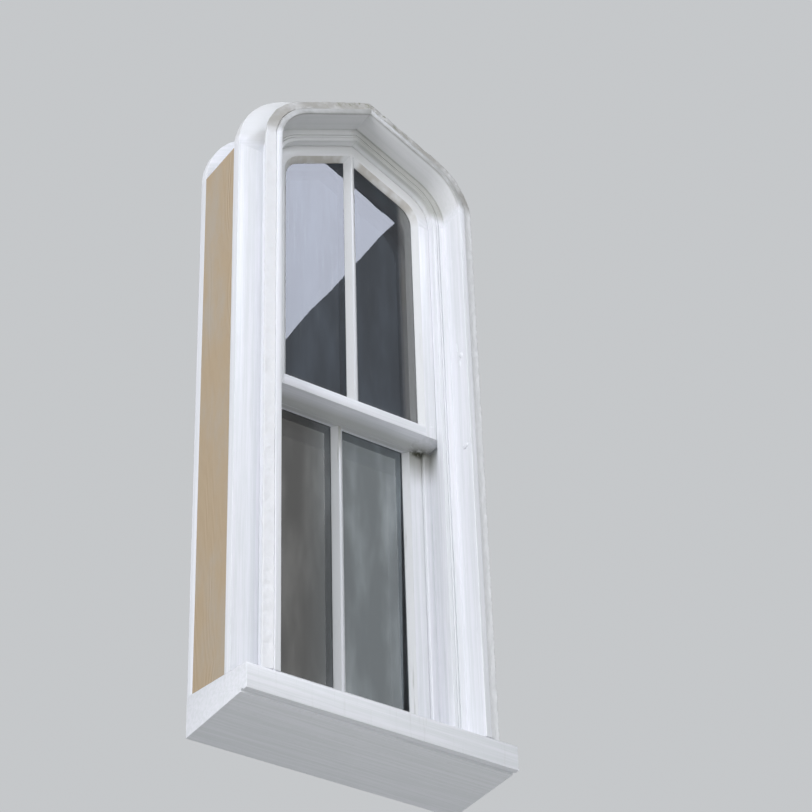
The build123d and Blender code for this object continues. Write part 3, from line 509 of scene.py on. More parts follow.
@dataclass(frozen=True)
class PuttyFinish(Finish):
    """Glazing putty under paint, with dirt along the glass."""

    colour: Colour = (0.745, 0.755, 0.765)
    # the darker tone of the putty at the head: partly dirt, partly painted shade
    stale: Colour = (0.455, 0.425, 0.375)
    soil: Colour = (0.215, 0.205, 0.150)
    stale_heights: Span = (SPRINGING - 5.0 * MM, SPRINGING + 35.0 * MM)
    past_bar: Span = (14.0 * MM, 26.0 * MM)
    depth: float = 0.4 * MM

    def fill(self, g: Surface) -> None:
        """Adds knife marks, lumps and dirt, and a darker tone at the head that is partly dirt and partly
        painted shade.
        """
        knife = g.effect("brushing", Vector=g.scaled(g.position, (0.5, 1.0, 0.05)))
        soil = g.effect("soiling", Amount=0.9)
        lump = g.cloud(g.position, 150.0, 3.0, 0.55)
        # a darker tone at the head, past the glazing bar: partly dirt, partly painted shade
        head_tone_patches = g.fade(g.cloud(g.position, 34.0, 2.0), 0.15, 0.60)
        high = g.fade(g.height, *self.stale_heights)
        beside = g.fade(g.math("ABSOLUTE", g.aside), *self.past_bar)
        colour = g.mix(g.times(high, head_tone_patches, beside, 0.80), self.colour, self.stale)
        colour = g.mix(soil["Mask"], colour, self.soil)
        height = g.line(lump, 1.8, knife["Height"])
        g.shade(colour, g.line(lump, 0.2, 0.4), height, self.depth)


@dataclass(frozen=True)
class SealantFinish(Finish):
    """Filler smeared round the outside of the timber, painted over, with green growth near the apex."""

    # painted shade on the left of the filler and painted light on the right, standing in for how the light
    # falls
    left: Colour = (0.760, 0.765, 0.785)
    right: Colour = (0.925, 0.930, 0.945)
    dust: Colour = (0.680, 0.680, 0.665)
    # the darker tone of the filler at the head: partly dirt, partly painted shade
    grime: Colour = (0.360, 0.345, 0.310)
    growth: Colour = (0.190, 0.200, 0.110)
    left_to_right: Span = (-0.18, 0.18)
    grime_heights: Span = (SPRINGING + 3.0 * MM, SPRINGING + 42.0 * MM)
    growth_heights: Span = (1.33, 1.42)
    depth: float = 0.35 * MM

    def fill(self, g: Surface) -> None:
        """Adds painted shade on the left and painted light on the right, dust, a darker tone at the head
        that is partly dirt and partly painted shade, and growth near the apex.
        """
        skin = g.effect("casting", Scale=42.0)
        # painted shade on the left, painted light on the right
        colour = g.mix(g.fade(g.aside, *self.left_to_right), self.left, self.right)
        colour = g.mix(g.times(skin["Patch"], 0.12), colour, self.dust)
        patchy = g.line(g.fade(g.cloud(g.position, 28.0, 5.0), 0.30, 0.60), 0.45, 0.42)
        # a darker tone at the head: partly dirt, partly painted shade
        colour = g.mix(g.times(g.fade(g.height, *self.grime_heights), patchy), colour, self.grime)
        tuft = g.fade(g.cloud(g.position, 75.0, 5.0, 0.65), 0.50, 0.62)
        colour = g.mix(g.times(g.fade(g.height, *self.growth_heights), tuft, 0.85), colour, self.growth)
        rough = g.line(skin["Patch"], 0.2, 0.32)
        g.shade(colour, rough, skin["Height"], self.depth)


@dataclass(frozen=True)
class MetalFinish(Finish):
    """Brass with dulled patches."""

    bright: Colour = (0.760, 0.600, 0.330)
    dull: Colour = (0.350, 0.250, 0.130)
    gloss: float = 0.24
    depth: float = 0.04 * MM

    def fill(self, g: Surface) -> None:
        """Adds the dulled patches and rubbing marks."""
        wear = g.effect("tarnish")
        colour = g.mix(wear["Mask"], self.bright, self.dull)
        rough = g.line(wear["Mask"], 0.32, self.gloss)
        g.shade(colour, rough, wear["Height"], self.depth, Metallic=1.0)


@dataclass(frozen=True)
class IronFinish(Finish):
    """Grey cast iron with a sandy skin and a bloom of rust."""

    iron: Colour = (0.075, 0.072, 0.070)
    rust: Colour = (0.170, 0.075, 0.035)
    depth: float = 0.6 * MM

    def fill(self, g: Surface) -> None:
        """Adds the sandy skin and the rust."""
        skin = g.effect("casting", Scale=55.0)
        colour = g.mix(g.times(skin["Patch"], 0.6), self.iron, self.rust)
        rough = g.line(skin["Patch"], 0.2, 0.58)
        g.shade(colour, rough, skin["Height"], self.depth, Metallic=0.35)


@dataclass(frozen=True)
class CordFinish(Finish):
    """Waxed cotton sash cord, braided, read from the cord's own UV map."""

    crown: Colour = (0.680, 0.620, 0.490)
    valley: Colour = (0.330, 0.280, 0.190)
    strands: int = 8
    pitch: float = 900.0
    depth: float = 0.5 * MM

    def fill(self, g: Surface) -> None:
        """Adds strands that cross each other, with painted shade in the creases between them and darker
        patches at random.
        """
        uv = g.add("UVMap", uv_map="braid").outputs[0]
        turn, length = g.axis(uv, 0), g.axis(uv, 1)
        ridges = []
        for hand in (1.0, -1.0):
            phase = g.line(length, self.pitch * hand, g.times(turn, self.strands * math.tau))
            ridges.append(g.line(g.math("SINE", phase), 0.5, 0.5))
        weave = g.math("MAXIMUM", *ridges)
        # painted shade in the creases between the strands
        colour = g.mix(g.fade(weave, 0.30, 0.95), self.valley, self.crown)
        # darker patches at random, in the same colour as the painted crease shade
        colour = g.mix(g.times(g.cloud(g.position, 60.0), 0.35), colour, self.valley)
        g.shade(colour, 0.86, weave, self.depth)


class Finishes:
    """Every material of the window, made once."""

    def __init__(self) -> None:
        """Makes the effects and the materials."""
        effects = Effects()
        self.paint = {run: PaintFinish(f"white_paint_{run.value}", run).make(effects) for run in Run}
        self.bare = BareTimberFinish("bare_softwood").make(effects)
        self.glass = GlassFinish("window_glass").make(effects)
        self.putty = PuttyFinish("painted_putty").make(effects)
        self.sealant = SealantFinish("painted_sealant").make(effects)
        self.brass = MetalFinish("worn_brass").make(effects)
        self.iron = IronFinish("rusty_iron").make(effects)
        self.cord = CordFinish("braided_cord").make(effects)


def new_object(name: str, data: bpy.types.ID) -> Object:
    """A new object, linked to the scene."""
    item = bpy.data.objects.new(name, data)
    bpy.context.scene.collection.objects.link(item)
    return item


def new_piece(name: str, bm: BMesh, materials: Iterable[Material]) -> Object:
    """Turns a bmesh into an object at the origin.

    Args:
        name: The object's name.
        bm: The mesh, which is freed.
        materials: Its material slots, in order.

    Returns:
        The object, linked to the scene.
    """
    mesh = bpy.data.meshes.new(name)
    bm.to_mesh(mesh)
    bm.free()
    for material in materials:
        mesh.materials.append(material)
    return new_object(name, mesh)


def final_mesh(item: Object) -> BMesh:
    """The mesh that an object ends up with, after which the object is removed."""
    bpy.context.view_layer.update()
    mesh = bpy.data.meshes.new_from_object(item.evaluated_get(bpy.context.evaluated_depsgraph_get()))
    bpy.data.objects.remove(item)
    bm = bmesh.new()
    bm.from_mesh(mesh)
    return bm


def add_mesh(whole: BMesh, part: BMesh) -> None:
    """Adds a mesh to another and frees it."""
    mesh = bpy.data.meshes.new("part")
    part.to_mesh(mesh)
    part.free()
    whole.from_mesh(mesh)
    bpy.data.meshes.remove(mesh)


def smooth(bm: BMesh) -> BMesh:
    """Shades a mesh smooth and hands it on."""
    for face in bm.faces:
        face.smooth = True
    return bm


def rim_of(bm: BMesh) -> list[BMEdge]:
    """The edges round the opening of a mesh."""
    return [edge for edge in bm.edges if len(edge.link_faces) < 2]


def grown_verts(result: dict[str, list]) -> list[BMVert]:
    """The vertices that an extrusion made."""
    return [item for item in result["geom"] if isinstance(item, BMVert)]


def turned_to(start: Point, facing: Point) -> Matrix:
    """The turn that brings one direction to another."""
    return Vector(start).rotation_difference(Vector(facing)).to_matrix().to_4x4()


def welded(node: str) -> BMesh:
    """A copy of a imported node's mesh with its triangles joined into whole faces."""
    bm = bmesh.new()
    bm.from_mesh(frame["nodes"][node].data)
    bmesh.ops.remove_doubles(bm, verts=bm.verts, dist=WELD)
    bmesh.ops.dissolve_limit(bm, angle_limit=FLAT_EDGE, verts=bm.verts, edges=bm.edges)
    return smooth(bm)


def soften(piece: Object, radius: float) -> None:
    """Rounds the arrises of a piece by a radius in metres, as coats of paint do."""
    bevel = piece.modifiers.new("arrises", "BEVEL")
    bevel.width = radius
    bevel.segments = 3
    bevel.limit_method = "ANGLE"
    bevel.angle_limit = SHARP_EDGE
    bevel.harden_normals = True


def standing_for(piece: Object, node: str) -> None:
    """Puts a piece in place of a node, on the node's own body."""
    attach(piece, frame["nodes"][node]["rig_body"])
    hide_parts(node)


def remade(node: str, ending: str, material: Material, arris: float) -> None:
    """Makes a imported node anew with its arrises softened.

    Args:
        node: The node that it stands for.
        ending: The word that ends the piece's name.
        material: Its material.
        arris: The rounding in metres.
    """
    piece = new_piece(f"{node}_{ending}", welded(node), [material])
    soften(piece, arris)
    standing_for(piece, node)


def dress(node: str, material: Material) -> None:
    """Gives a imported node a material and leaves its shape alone."""
    item = frame["nodes"][node]
    if not item.material_slots:
        item.data.materials.append(material)
    for slot in item.material_slots:
        slot.link = "OBJECT"
        slot.material = material


@dataclass
class Joinery:
    """The painted timber of the frame and of both sashes, with softened arrises."""

    finishes: Finishes
    arris: float = 1.1 * MM
    fine_arris: float = 0.45 * MM
    uprights: tuple[str, ...] = (
        "pulley_stile", "pocket_piece", "outer_lining", "inner_lining", "parting_bead", "staff_bead",
        "reveal_lining", "upper_stile", "lower_stile",
    )
    bars: tuple[str, ...] = ("upper_glazing_bar", "lower_glazing_bar")
    level: tuple[str, ...] = (
        "sill", "staff_bead_sill", "upper_meeting_rail", "lower_meeting_rail", "lower_bottom_rail",
    )
    head: tuple[str, ...] = (
        "outer_head_lining", "inner_head_lining", "arched_head", "parting_bead_head",
        "staff_bead_head", "upper_head_rail",
    )
    bare: tuple[str, ...] = ("back_lining", "weight_partition")
    fine: tuple[str, ...] = ("outer_lining", "outer_head_lining", "pocket_piece", "pulley_stile")

    def build(self) -> None:
        """Makes every painted member and dresses the bare ones."""
        for stem in self.uprights:
            for side in SIDES:
                self.member(f"{stem}_{side}", Run.UPRIGHT, stem in self.fine)
        for nodes, run in ((self.bars, Run.UPRIGHT), (self.level, Run.ACROSS), (self.head, Run.HEAD)):
            for node in nodes:
                self.member(node, run, node in self.fine)
        for stem in self.bare:
            for side in SIDES:
                dress(f"{stem}_{side}", self.finishes.bare)

    def member(self, node: str, run: Run, fine: bool) -> None:
        """Makes one member.

        Args:
            node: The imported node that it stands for.
            run: The way its brush marks go.
            fine: True where its details need a smaller rounding.
        """
        arris = self.fine_arris if fine else self.arris
        remade(node, "timber", self.finishes.paint[run], arris)
        LOG.info("timber %s", node)


@dataclass
class Glazing:
    """The panes and their putty."""

    finishes: Finishes
    putty_arris: float = 0.5 * MM

    def build(self) -> None:
        """Dresses the panes and makes the putty of both sashes."""
        for sash in ("upper", "lower"):
            for side in SIDES:
                dress(f"{sash}_pane_{side}", self.finishes.glass)
            remade(f"{sash}_putty", "fillet", self.finishes.putty, self.putty_arris)
            LOG.info("glazing of the %s sash", sash)


@dataclass
class Sealant:
    """The uneven filler round the reveal."""

    finishes: Finishes
    voxel: float = 2.4 * MM
    ragged: float = 2.4 * MM

    def build(self) -> None:
        """Makes the sealant with a ragged outer edge."""
        blank = new_piece("sealant_blank", welded("sealant"), [])
        remesh = blank.modifiers.new("even", "REMESH")
        remesh.mode = "VOXEL"
        remesh.voxel_size = self.voxel
        bm = final_mesh(blank)
        for vert in bm.verts:
            lump = noise.noise(vert.co * 55) * 0.6 + noise.noise(vert.co * 190) * 0.4
            vert.co += vert.normal * (lump - 0.35) * self.ragged
        bmesh.ops.smooth_vert(
            bm, verts=bm.verts, factor=0.4, use_axis_x=True, use_axis_y=True, use_axis_z=True
        )
        piece = new_piece("sealant_bead", smooth(bm), [self.finishes.sealant])
        standing_for(piece, "sealant")
        LOG.info("sealant with %d faces", len(piece.data.polygons))


@dataclass
class Braid:
    """Cord meshes with a UV map that runs round and along the cord."""

    radius: float
    segments: int = 14
    leg_rings: int = 60
    bend_steps: int = 30
    knot_points: int = 18
    knot_thickness: float = 0.86

    def paint_map(self, bm: BMesh, measure: Callable[[Vector], Span]) -> None:
        """Writes the UV map.

        Args:
            bm: The cord.
            measure: Gives the turn from 0 to 1 and the distance along, for a point.
        """
        layer = bm.loops.layers.uv.new("braid")
        for face in smooth(bm).faces:
            values = [measure(loop.vert.co) for loop in face.loops]
            highest = max(turn for turn, _ in values)
            for loop, (turn, along) in zip(face.loops, values):
                loop[layer].uv = (turn + (1.0 if highest - turn > 0.5 else 0.0), along)

    def leg(self, foot: Vector, top_z: float, start: float) -> BMesh:
        """A straight upright run.

        Args:
            foot: Its lower end.
            top_z: The height of its upper end.
            start: The distance along the cord at its upper end.

        Returns:
            The run's mesh.
        """
        bm = bmesh.new()
        height = top_z - foot.z
        bmesh.ops.create_cone(
            bm, cap_ends=False, segments=self.segments, radius1=self.radius, radius2=self.radius,
            depth=height, matrix=Matrix.Translation((foot.x, foot.y, foot.z + height / 2)),
        )
        upright = [e for e in bm.edges if abs(e.verts[0].co.z - e.verts[1].co.z) > height / 2]
        bmesh.ops.subdivide_edges(bm, edges=upright, cuts=self.leg_rings)

        def measure(point: Vector) -> Span:
            """Turn and distance of a point on the run."""
            turn = math.atan2(point.y - foot.y, point.x - foot.x) / math.tau + 0.5
            return turn, start + top_z - point.z

        self.paint_map(bm, measure)
        return bm

    def bend(self, entry: Vector, centre: Vector) -> BMesh:
        """A half turn over a wheel.

        Args:
            entry: The point where the cord meets the wheel.
            centre: The wheel's centre.

        Returns:
            The half turn's mesh.
        """
        bm = bmesh.new()
        reach = entry.x - centre.x
        ring = bmesh.ops.create_circle(
            bm, segments=self.segments, radius=self.radius, matrix=Matrix.Translation(entry)
        )["verts"]
        edges = list({e for v in ring for e in v.link_edges})
        turn = math.pi if reach < 0 else -math.pi
        bmesh.ops.spin(bm, geom=ring + edges, cent=centre, axis=(0, 1, 0), angle=turn, steps=self.bend_steps)

        def measure(point: Vector) -> Span:
            """Turn and distance of a point on the half turn."""
            arm = Vector((point.x - centre.x, 0, point.z - centre.z))
            angle = math.atan2(arm.z, arm.x * (1 if reach < 0 else -1))
            across = arm.length - abs(reach)
            around = math.atan2(point.y - centre.y, -across) / math.tau + 0.5
            return around, (math.pi - angle) * abs(reach)

        self.paint_map(bm, measure)
        bmesh.ops.recalc_face_normals(bm, faces=bm.faces)
        return bm

    def knot(self, middle: Vector, size: float) -> BMesh:
        """A pulled-up overhand knot.

        Args:
            middle: Its middle.
            size: Half its width.

        Returns:
            The knot's mesh.
        """
        curve = bpy.data.curves.new("knot_route", "CURVE")
        curve.dimensions = "3D"
        curve.bevel_depth = self.radius * self.knot_thickness
        curve.bevel_resolution = 3
        spline = curve.splines.new("NURBS")
        spline.points.add(self.knot_points - 1)
        reach = (size - curve.bevel_depth) / 3
        for i, point in enumerate(spline.points):
            t = math.tau * i / self.knot_points
            x, y = math.sin(t) + 2 * math.sin(2 * t), math.cos(t) - 2 * math.cos(2 * t)
            point.co = (*(middle + Vector((x, y, -1.3 * math.sin(3 * t))) * reach), 1.0)
        spline.order_u = 3
        spline.use_cyclic_u = True
        return smooth(final_mesh(new_object("knot_route", curve)))


@dataclass(frozen=True)
class ScrewSize:
    """A head's radius, how far it stands proud and how far it is sunk, in metres."""

    radius: float
    rise: float
    sunk: float


@dataclass
class Screws:
    """Slotted screws, their heads turned and cut in mesh code."""

    material: Material
    slot_width: float = 0.9 * MM
    slot_depth: float = 0.7 * MM
    segments: int = 28
    neck: float = 0.55
    first_turn: float = 25.0
    next_turn: float = 67.0

    def in_slot(self, face: bmesh.types.BMFace) -> bool:
        """Whether a face lies on top of the head and inside the slot."""
        middle = face.calc_center_median()
        return face.normal.z > 0.9 and abs(middle.y) < self.slot_width / 2 and middle.z > 0

    def head(self, size: ScrewSize, turn: float) -> BMesh:
        """One head, facing up, with its seat at the origin.

        Args:
            size: The head's size.
            turn: The slot's angle in degrees.

        Returns:
            The head's mesh.
        """
        bm = bmesh.new()
        bmesh.ops.create_circle(bm, cap_ends=True, segments=self.segments, radius=size.radius * self.neck)
        bmesh.ops.translate(bm, verts=bm.verts, vec=(0, 0, -size.sunk))
        steps = ((1.0 / self.neck, size.sunk), (0.985, size.rise * 0.4), (0.80, size.rise * 0.6))
        for spread, height in steps:
            verts = grown_verts(bmesh.ops.extrude_edge_only(bm, edges=rim_of(bm)))
            bmesh.ops.scale(bm, verts=verts, vec=(spread, spread, 1))
            bmesh.ops.translate(bm, verts=verts, vec=(0, 0, height))
        bmesh.ops.contextual_create(bm, geom=rim_of(bm))
        for edge in (self.slot_width / 2, -self.slot_width / 2):
            geom = bm.verts[:] + bm.edges[:] + bm.faces[:]
            bmesh.ops.bisect_plane(bm, geom=geom, plane_co=(0, edge, 0), plane_no=(0, 1, 0))
        floor = [face for face in bm.faces if self.in_slot(face)]
        verts = grown_verts(bmesh.ops.extrude_face_region(bm, geom=floor))
        bmesh.ops.translate(bm, verts=verts, vec=(0, 0, -self.slot_depth))
        bmesh.ops.delete(bm, geom=floor, context="FACES_ONLY")
        bmesh.ops.recalc_face_normals(bm, faces=bm.faces)
        rotation = Matrix.Rotation(math.radians(turn), 3, "Z")
        bmesh.ops.rotate(bm, verts=bm.verts, cent=(0, 0, 0), matrix=rotation)
        return bm

    def place(self, name: str, body: str, seats: Sequence[Point], facing: Point, size: ScrewSize) -> None:
        """Sets a row of screws as one piece.

        Args:
            name: The piece's name.
            body: The body that it rides on.
            seats: The middle of each head at the face that it is driven into.
            facing: The way the heads face.
            size: The heads' size.
        """
        whole = bmesh.new()
        turned = turned_to((0, 0, 1), facing)
        for i, seat in enumerate(seats):
            one = self.head(size, self.first_turn + self.next_turn * i)
            bmesh.ops.transform(one, matrix=Matrix.Translation(seat) @ turned, verts=one.verts)
            add_mesh(whole, one)
        piece = new_piece(name, whole, [self.material])
        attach(piece, body)


@dataclass(frozen=True)
class Hanging:
    """How a sash hangs: how far in its cords run, and the heights of the knots at rest."""

    sash: str
    inward: float
    sash_knot: float
    weight_knot: float


@dataclass
class Balance:
    """Pulleys, cords and weights."""

    finishes: Finishes
    plate_inside: float = 193.5 * MM
    plate_thickness: float = 3.0 * MM
    cord_x: float = 188.0 * MM
    pitch_radius: float = 24.3 * MM
    wheel_z: float = 1150.0 * MM
    cord_radius: float = 3.0 * MM
    knot_size: float = 6.0 * MM
    knot_x: float = 185.0 * MM
    screw_reach: float = 47.0 * MM
    pocket_screw: Span = (55.5 * MM, 310.0 * MM)
    weight_arris: float = 1.2 * MM
    metal_arris: float = 0.4 * MM
    screw: ScrewSize = ScrewSize(3.8 * MM, 0.3 * MM, 2.4 * MM)
    hangings: tuple[Hanging, ...] = (
        Hanging("upper", -1.5 * MM, 961.2 * MM, 638.96 * MM),
        Hanging("lower", 55.5 * MM, 561.2 * MM, 1073.96 * MM),
    )

    def build(self) -> None:
        """Makes the cases, wheels, weights, cords and screws."""
        brass, iron = self.finishes.brass, self.finishes.iron
        screws = Screws(brass)
        for side, sign in zip(SIDES, (-1, 1)):
            self.cases(side)
            for hanging in self.hangings:
                remade(f"{hanging.sash}_weight_{side}", "casting", iron, self.weight_arris)
                remade(f"{hanging.sash}_wheel_{side}", "sheave", brass, self.metal_arris)
                self.cord(hanging, side, sign)
            seats = [
                (sign * self.plate_inside, hanging.inward, self.wheel_z + reach)
                for hanging in self.hangings
                for reach in (-self.screw_reach, self.screw_reach)
            ]
            screws.place(f"faceplate_screws_{side}", "frame", seats, (-sign, 0, 0), self.screw)
            pocket = [(sign * self.plate_inside, *self.pocket_screw)]
            screws.place(f"pocket_screw_{side}", "frame", pocket, (-sign, 0, 0), self.screw)
        LOG.info("balance")

    def cases(self, side: str) -> None:
        """Makes the two pulley cases of a side, iron with brass faceplates."""
        node = f"pulley_cases_{side}"
        bm = welded(node)
        for face in bm.faces:
            near = abs(face.calc_center_median().x) < self.plate_inside + self.plate_thickness + 0.1 * MM
            face.material_index = 1 if near else 0
        piece = new_piece(f"{node}_metal", bm, [self.finishes.iron, self.finishes.brass])
        soften(piece, self.metal_arris)
        standing_for(piece, node)

    def cord(self, hanging: Hanging, side: str, sign: int) -> None:
        """Makes a cord in three lengths: to the sash, over the wheel and to the weight.

        Args:
            hanging: The sash's hanging.
            side: left or right.
            sign: -1 on the left and 1 on the right.
        """
        sash, y, x = hanging.sash, hanging.inward, sign * self.cord_x
        node = f"{sash}_cord_{side}"
        braid = Braid(self.cord_radius)
        centre = Vector((x + sign * self.pitch_radius, y, self.wheel_z))
        far_x = centre.x + sign * self.pitch_radius
        past_wheel = math.pi * self.pitch_radius
        ends = (
            ("sash", f"{sash}_sash", x, hanging.sash_knot, sign * self.knot_x, 0.0),
            ("weight", f"{sash}_weight_{side}", far_x, hanging.weight_knot, far_x, past_wheel),
        )
        for end, body, leg_x, knot_z, knot_x, start in ends:
            bm = braid.leg(Vector((leg_x, y, knot_z)), self.wheel_z, start)
            add_mesh(bm, braid.knot(Vector((knot_x, y, knot_z)), self.knot_size))
            piece = new_piece(f"{node}_to_{end}", bm, [self.finishes.cord])
            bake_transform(piece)
            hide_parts(node)
        bend = braid.bend(Vector((x, y, self.wheel_z)), centre)
        standing_for(new_piece(f"{node}_over_wheel", bend, [self.finishes.cord]), node)


@dataclass
class Ironmongery:
    """The fastener and the lifts on the room side."""

    finishes: Finishes
    arris: float = 0.8 * MM
    fastener: Span = (-62.0 * MM, 42.5 * MM)
    plate_top: float = 739.5 * MM
    base_reach: float = 20.0 * MM
    keep_y: float = 13.0 * MM
    keep_reach: float = 15.0 * MM
    lift_x: float = 85.0 * MM
    lift_face: float = 81.0 * MM
    lift_z: float = 116.9 * MM
    lift_reach: Span = (12.0 * MM, 10.0 * MM)
    fastener_screw: ScrewSize = ScrewSize(3.2 * MM, 0.8 * MM, 0.5 * MM)
    lift_screw: ScrewSize = ScrewSize(2.8 * MM, 0.8 * MM, 0.5 * MM)

    def build(self) -> None:
        """Makes the brass pieces and their screws."""
        for node in ("fastener_base", "fastener_lever", "fastener_keep", "sash_lifts"):
            remade(node, "casting", self.finishes.brass, self.arris)
        screws = Screws(self.finishes.brass)
        x, y = self.fastener
        rows = (
            ("fastener_screws", "lower_sash", y, self.base_reach),
            ("keep_screws", "upper_sash", self.keep_y, self.keep_reach),
        )
        for name, body, inward, reach in rows:
            seats = [(x + sign * reach, inward, self.plate_top) for sign in (-1, 1)]
            screws.place(name, body, seats, (0, 0, 1), self.fastener_screw)
        reach, height = self.lift_reach
        seats = [
            (side * self.lift_x + sign * reach, self.lift_face, self.lift_z + end * height)
            for side in (-1, 1)
            for sign in (-1, 1)
            for end in (-1, 1)
        ]
        screws.place("lift_screws", "lower_sash", seats, (0, 1, 0), self.lift_screw)
        LOG.info("ironmongery")


@dataclass(frozen=True)
class Sag:
    """A place where the paint ran: its middle in metres, its width, length and rise in millimetres."""

    x: float
    y: float
    z: float
    width: float
    length: float
    proud: float = 0.5
    body: str = "frame"


@dataclass
class PaintSags:
    """Runs and blobs that the brush left outside."""

    finishes: Finishes
    reveal_x: float = 0.2
    sags: tuple[Sag, ...] = (
        Sag(0.2035, -0.0790, 0.880, 12, 13, 2.6),
        Sag(0.2035, -0.0740, 0.862, 6, 15, 2.0),
        Sag(0.2035, -0.0670, 0.905, 4, 22, 1.3),
        Sag(0.2035, -0.0780, 0.668, 18, 12, 3.0),
        Sag(0.2035, -0.0560, 0.402, 3, 26),
        Sag(0.2035, -0.0860, 0.265, 4, 15),
        Sag(0.2035, -0.0640, 1.120, 4, 18),
        Sag(0.1930, -0.0435, 0.540, 3, 14, 0.35),
        Sag(-0.2035, -0.0700, 0.700, 4, 20),
        Sag(-0.2035, -0.0860, 0.330, 3, 15),
        Sag(0.0000, -0.0245, 0.7405, 8, 4, 0.7, "upper_sash"),
        Sag(0.0005, -0.0245, 0.7470, 7, 3, 0.5, "upper_sash"),
        Sag(-0.0005, -0.0245, 0.7530, 6, 3, 0.4, "upper_sash"),
        Sag(0.1700, -0.0245, 0.7300, 9, 7, 0.6, "upper_sash"),
        Sag(-0.1100, -0.0245, 0.7090, 5, 6, 0.5, "upper_sash"),
    )

    def build(self) -> None:
        """Makes the sags of each body as one piece."""
        for body in sorted({sag.body for sag in self.sags}):
            whole = bmesh.new()
            for index, sag in enumerate(self.sags):
                if sag.body == body:
                    add_mesh(whole, self.drop(sag, index))
            piece = new_piece(f"paint_sags_{body}", whole, [self.finishes.paint[Run.UPRIGHT]])
            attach(piece, body)
            LOG.info("paint sags of %s", body)

    def drop(self, sag: Sag, index: int) -> BMesh:
        """One sag.

        Args:
            sag: Its place and size.
            index: Its number, which varies its outline.

        Returns:
            The sag's mesh.
        """
        bm = bmesh.new()
        bmesh.ops.create_icosphere(bm, subdivisions=4, radius=1.0)
        for vert in bm.verts:
            droop = 1.0 - 0.45 * max(vert.co.z, 0.0) ** 1.5
            lump = 1.0 + 0.22 * noise.noise(vert.co * 1.3 + Vector((index * 7.1, 0, 0)))
            vert.co = Vector((vert.co.x * droop, vert.co.y * droop, vert.co.z)) * lump
        facing = OUTWARD if abs(sag.x) < self.reveal_x else (-math.copysign(1, sag.x), 0, 0)
        size = Matrix.Diagonal((sag.width / 2 * MM, sag.proud * MM, sag.length / 2 * MM, 1.0))
        placed = Matrix.Translation((sag.x, sag.y, sag.z)) @ turned_to(OUTWARD, facing) @ size
        bmesh.ops.transform(bm, matrix=placed, verts=bm.verts)
        return smooth(bm)


@dataclass(frozen=True)
class Lamp:
    """A soft rectangular lamp: its place and target, its sides in metres, its watts and its colour."""

    name: str
    place: Point
    target: Point
    size: Span
    power: float
    colour: Colour
    in_gloss: bool = True

    def hang(self) -> Object:
        """Adds the lamp, unseen by the camera and through glass."""
        data = bpy.data.lights.new(self.name, "AREA")
        data.shape = "RECTANGLE"
        data.size, data.size_y = self.size
        data.energy = self.power
        data.color = self.colour
        lamp = new_object(self.name, data)
        lamp.location = self.place
        direction = Vector(self.target) - Vector(self.place)
        lamp.rotation_euler = direction.to_track_quat("-Z", "Y").to_euler()
        lamp.visible_camera = False
        lamp.visible_transmission = False
        lamp.visible_glossy = self.in_gloss
        return lamp


def seen_stage(g: Graph) -> Socket:
    """1 where the stage is seen, straight or in glass and gloss, and 0 where it only gives light."""
    path = g.add("LightPath")
    seen = g.math("MAXIMUM", path.outputs["Is Camera Ray"], path.outputs["Is Transmission Ray"])
    return g.math("MAXIMUM", seen, path.outputs["Is Glossy Ray"])


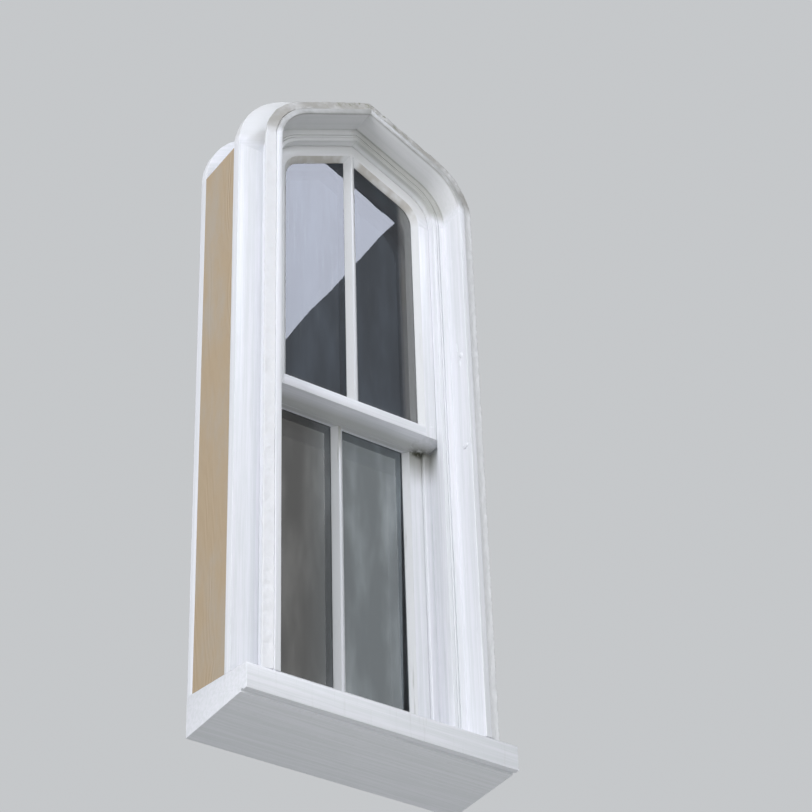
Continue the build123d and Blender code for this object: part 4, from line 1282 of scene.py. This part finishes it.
@dataclass
class Studio:
    """Floor, world, lamps and camera."""

    floor_z: float = -2.7
    floor_size: float = 40.0
    floor_colour: Colour = (0.52, 0.52, 0.51)
    floor_lift: float = 0.40
    backdrop: Colour = (0.560, 0.575, 0.590)
    ground_light: Colour = (0.30, 0.30, 0.30)
    top_light: Colour = (0.90, 0.95, 1.0)
    ambient: float = 0.50
    lamps: tuple[Lamp, ...] = (
        Lamp("key", (-5.6, -2.4, 2.4), (0.0, 0.0, 0.7), (3.2, 3.2), 262.0, (0.950, 0.955, 1.0)),
        Lamp("front", (-1.6, -6.0, 0.9), (0.0, 0.0, 0.7), (3.0, 3.0), 72.0, (0.96, 0.97, 1.0), False),
        Lamp("low", (-1.1, -4.2, -1.5), (0.0, 0.0, 0.8), (2.4, 2.4), 31.0, (1.0, 0.99, 0.96), False),
        Lamp("room", (1.8, 4.2, 2.6), (0.0, 0.0, 0.8), (3.0, 3.0), 110.0, (1.0, 0.98, 0.95)),
    )
    mirror_tip: Point = (2.5938, -3.6114, 5.0406)
    mirror_rise: Point = (-0.7518, -0.1827, 0.6336)
    mirror_fall: Point = (-0.3993, -0.6385, -0.6580)
    mirror_span: Span = (1.6, 2.4)
    mirror_power: float = 100.0
    mirror_colour: Colour = (0.79, 0.84, 1.0)
    camera_place: Point = (-2.0506, -3.1365, -2.0990)
    camera_right: Point = (0.83236, -0.55359, -0.02672)
    camera_up: Point = (-0.31573, -0.51325, 0.79806)
    camera_back: Point = (-0.45551, -0.65584, -0.60199)
    lens: float = 113.05

    def build(self) -> None:
        """Sets the stage."""
        self.floor()
        self.world()
        for lamp in self.lamps:
            lamp.hang()
        self.mirrored_panel()
        self.camera()
        bpy.context.scene.view_settings.view_transform = "Standard"

    def floor(self) -> None:
        """Lays a plain floor, pale to the camera and quiet as a reflector."""
        material = new_material("studio_floor")
        g = Graph(material.node_tree)
        seen = seen_stage(g)
        diffuse = g.add("BsdfDiffuse", {"Color": g.mix(seen, self.floor_colour, self.backdrop)})
        pale = g.add("Emission", {"Color": self.backdrop, "Strength": g.times(seen, self.floor_lift)})
        lit = g.add("AddShader", {"0": diffuse.outputs[0], "1": pale.outputs[0]})
        clear = g.add("BsdfTransparent")
        back = g.add("NewGeometry").outputs["Backfacing"]
        mixed = g.add("MixShader", {"0": back, "1": lit.outputs[0], "2": clear.outputs[0]})
        g.add("OutputMaterial", {"0": mixed.outputs[0]})
        bm = bmesh.new()
        bmesh.ops.create_grid(bm, x_segments=2, y_segments=2, size=self.floor_size / 2)
        bmesh.ops.translate(bm, verts=bm.verts, vec=(0, 0, self.floor_z))
        new_piece("floor", bm, [material])

    def world(self) -> None:
        """A pale backdrop for the camera and a plain soft light for the window."""
        world = bpy.data.worlds.new("studio")
        world.use_nodes = True
        world.node_tree.nodes.clear()
        bpy.context.scene.world = world
        g = Graph(world.node_tree)
        seen = seen_stage(g)
        up = g.axis(g.add("TexCoord").outputs["Generated"], 2)
        lit = g.multiple(g.mix(g.fade(up, -0.3, 0.6), self.ground_light, self.top_light), self.ambient)
        background = g.add("Background", {"Color": g.mix(seen, lit, self.backdrop), "Strength": 1.0})
        g.add("OutputWorld", {"0": background.outputs[0]})

    def mirrored_panel(self) -> None:
        """Adds the soft panel whose corner the upper panes mirror."""
        tip, rise, fall = (Vector(v) for v in (self.mirror_tip, self.mirror_rise, self.mirror_fall))
        fall = (fall - rise * fall.dot(rise)).normalized()
        width, height = self.mirror_span
        middle = tip + rise * width / 2 + fall * height / 2
        lamp = Lamp(
            "mirrored_panel", tuple(middle), (0.0, 0.0, 1.0), self.mirror_span, self.mirror_power,
            self.mirror_colour,
        )
        panel = lamp.hang()
        turned = Matrix((rise, fall, rise.cross(fall))).transposed().to_4x4()
        panel.matrix_world = Matrix.Translation(middle) @ turned
        panel.visible_diffuse = False

    def camera(self) -> None:
        """Places the camera as in the photograph, below and to the left of the window."""
        data = bpy.data.cameras.new("photograph")
        data.lens = self.lens
        data.sensor_width = 36.0
        data.clip_end = 100.0
        camera = new_object("photograph", data)
        turned = Matrix((self.camera_right, self.camera_up, self.camera_back)).transposed().to_4x4()
        camera.matrix_world = Matrix.Translation(self.camera_place) @ turned
        bpy.context.scene.camera = camera


def main() -> None:
    """Builds the window's pieces in order and sets the stage."""
    logging.basicConfig(level=logging.INFO, format="%(name)s: %(message)s")
    finishes = Finishes()
    for part in (Joinery, Glazing, Sealant, Balance, Ironmongery, PaintSags):
        part(finishes).build()
    Studio().build()


if __name__ == "__main__":
    main()
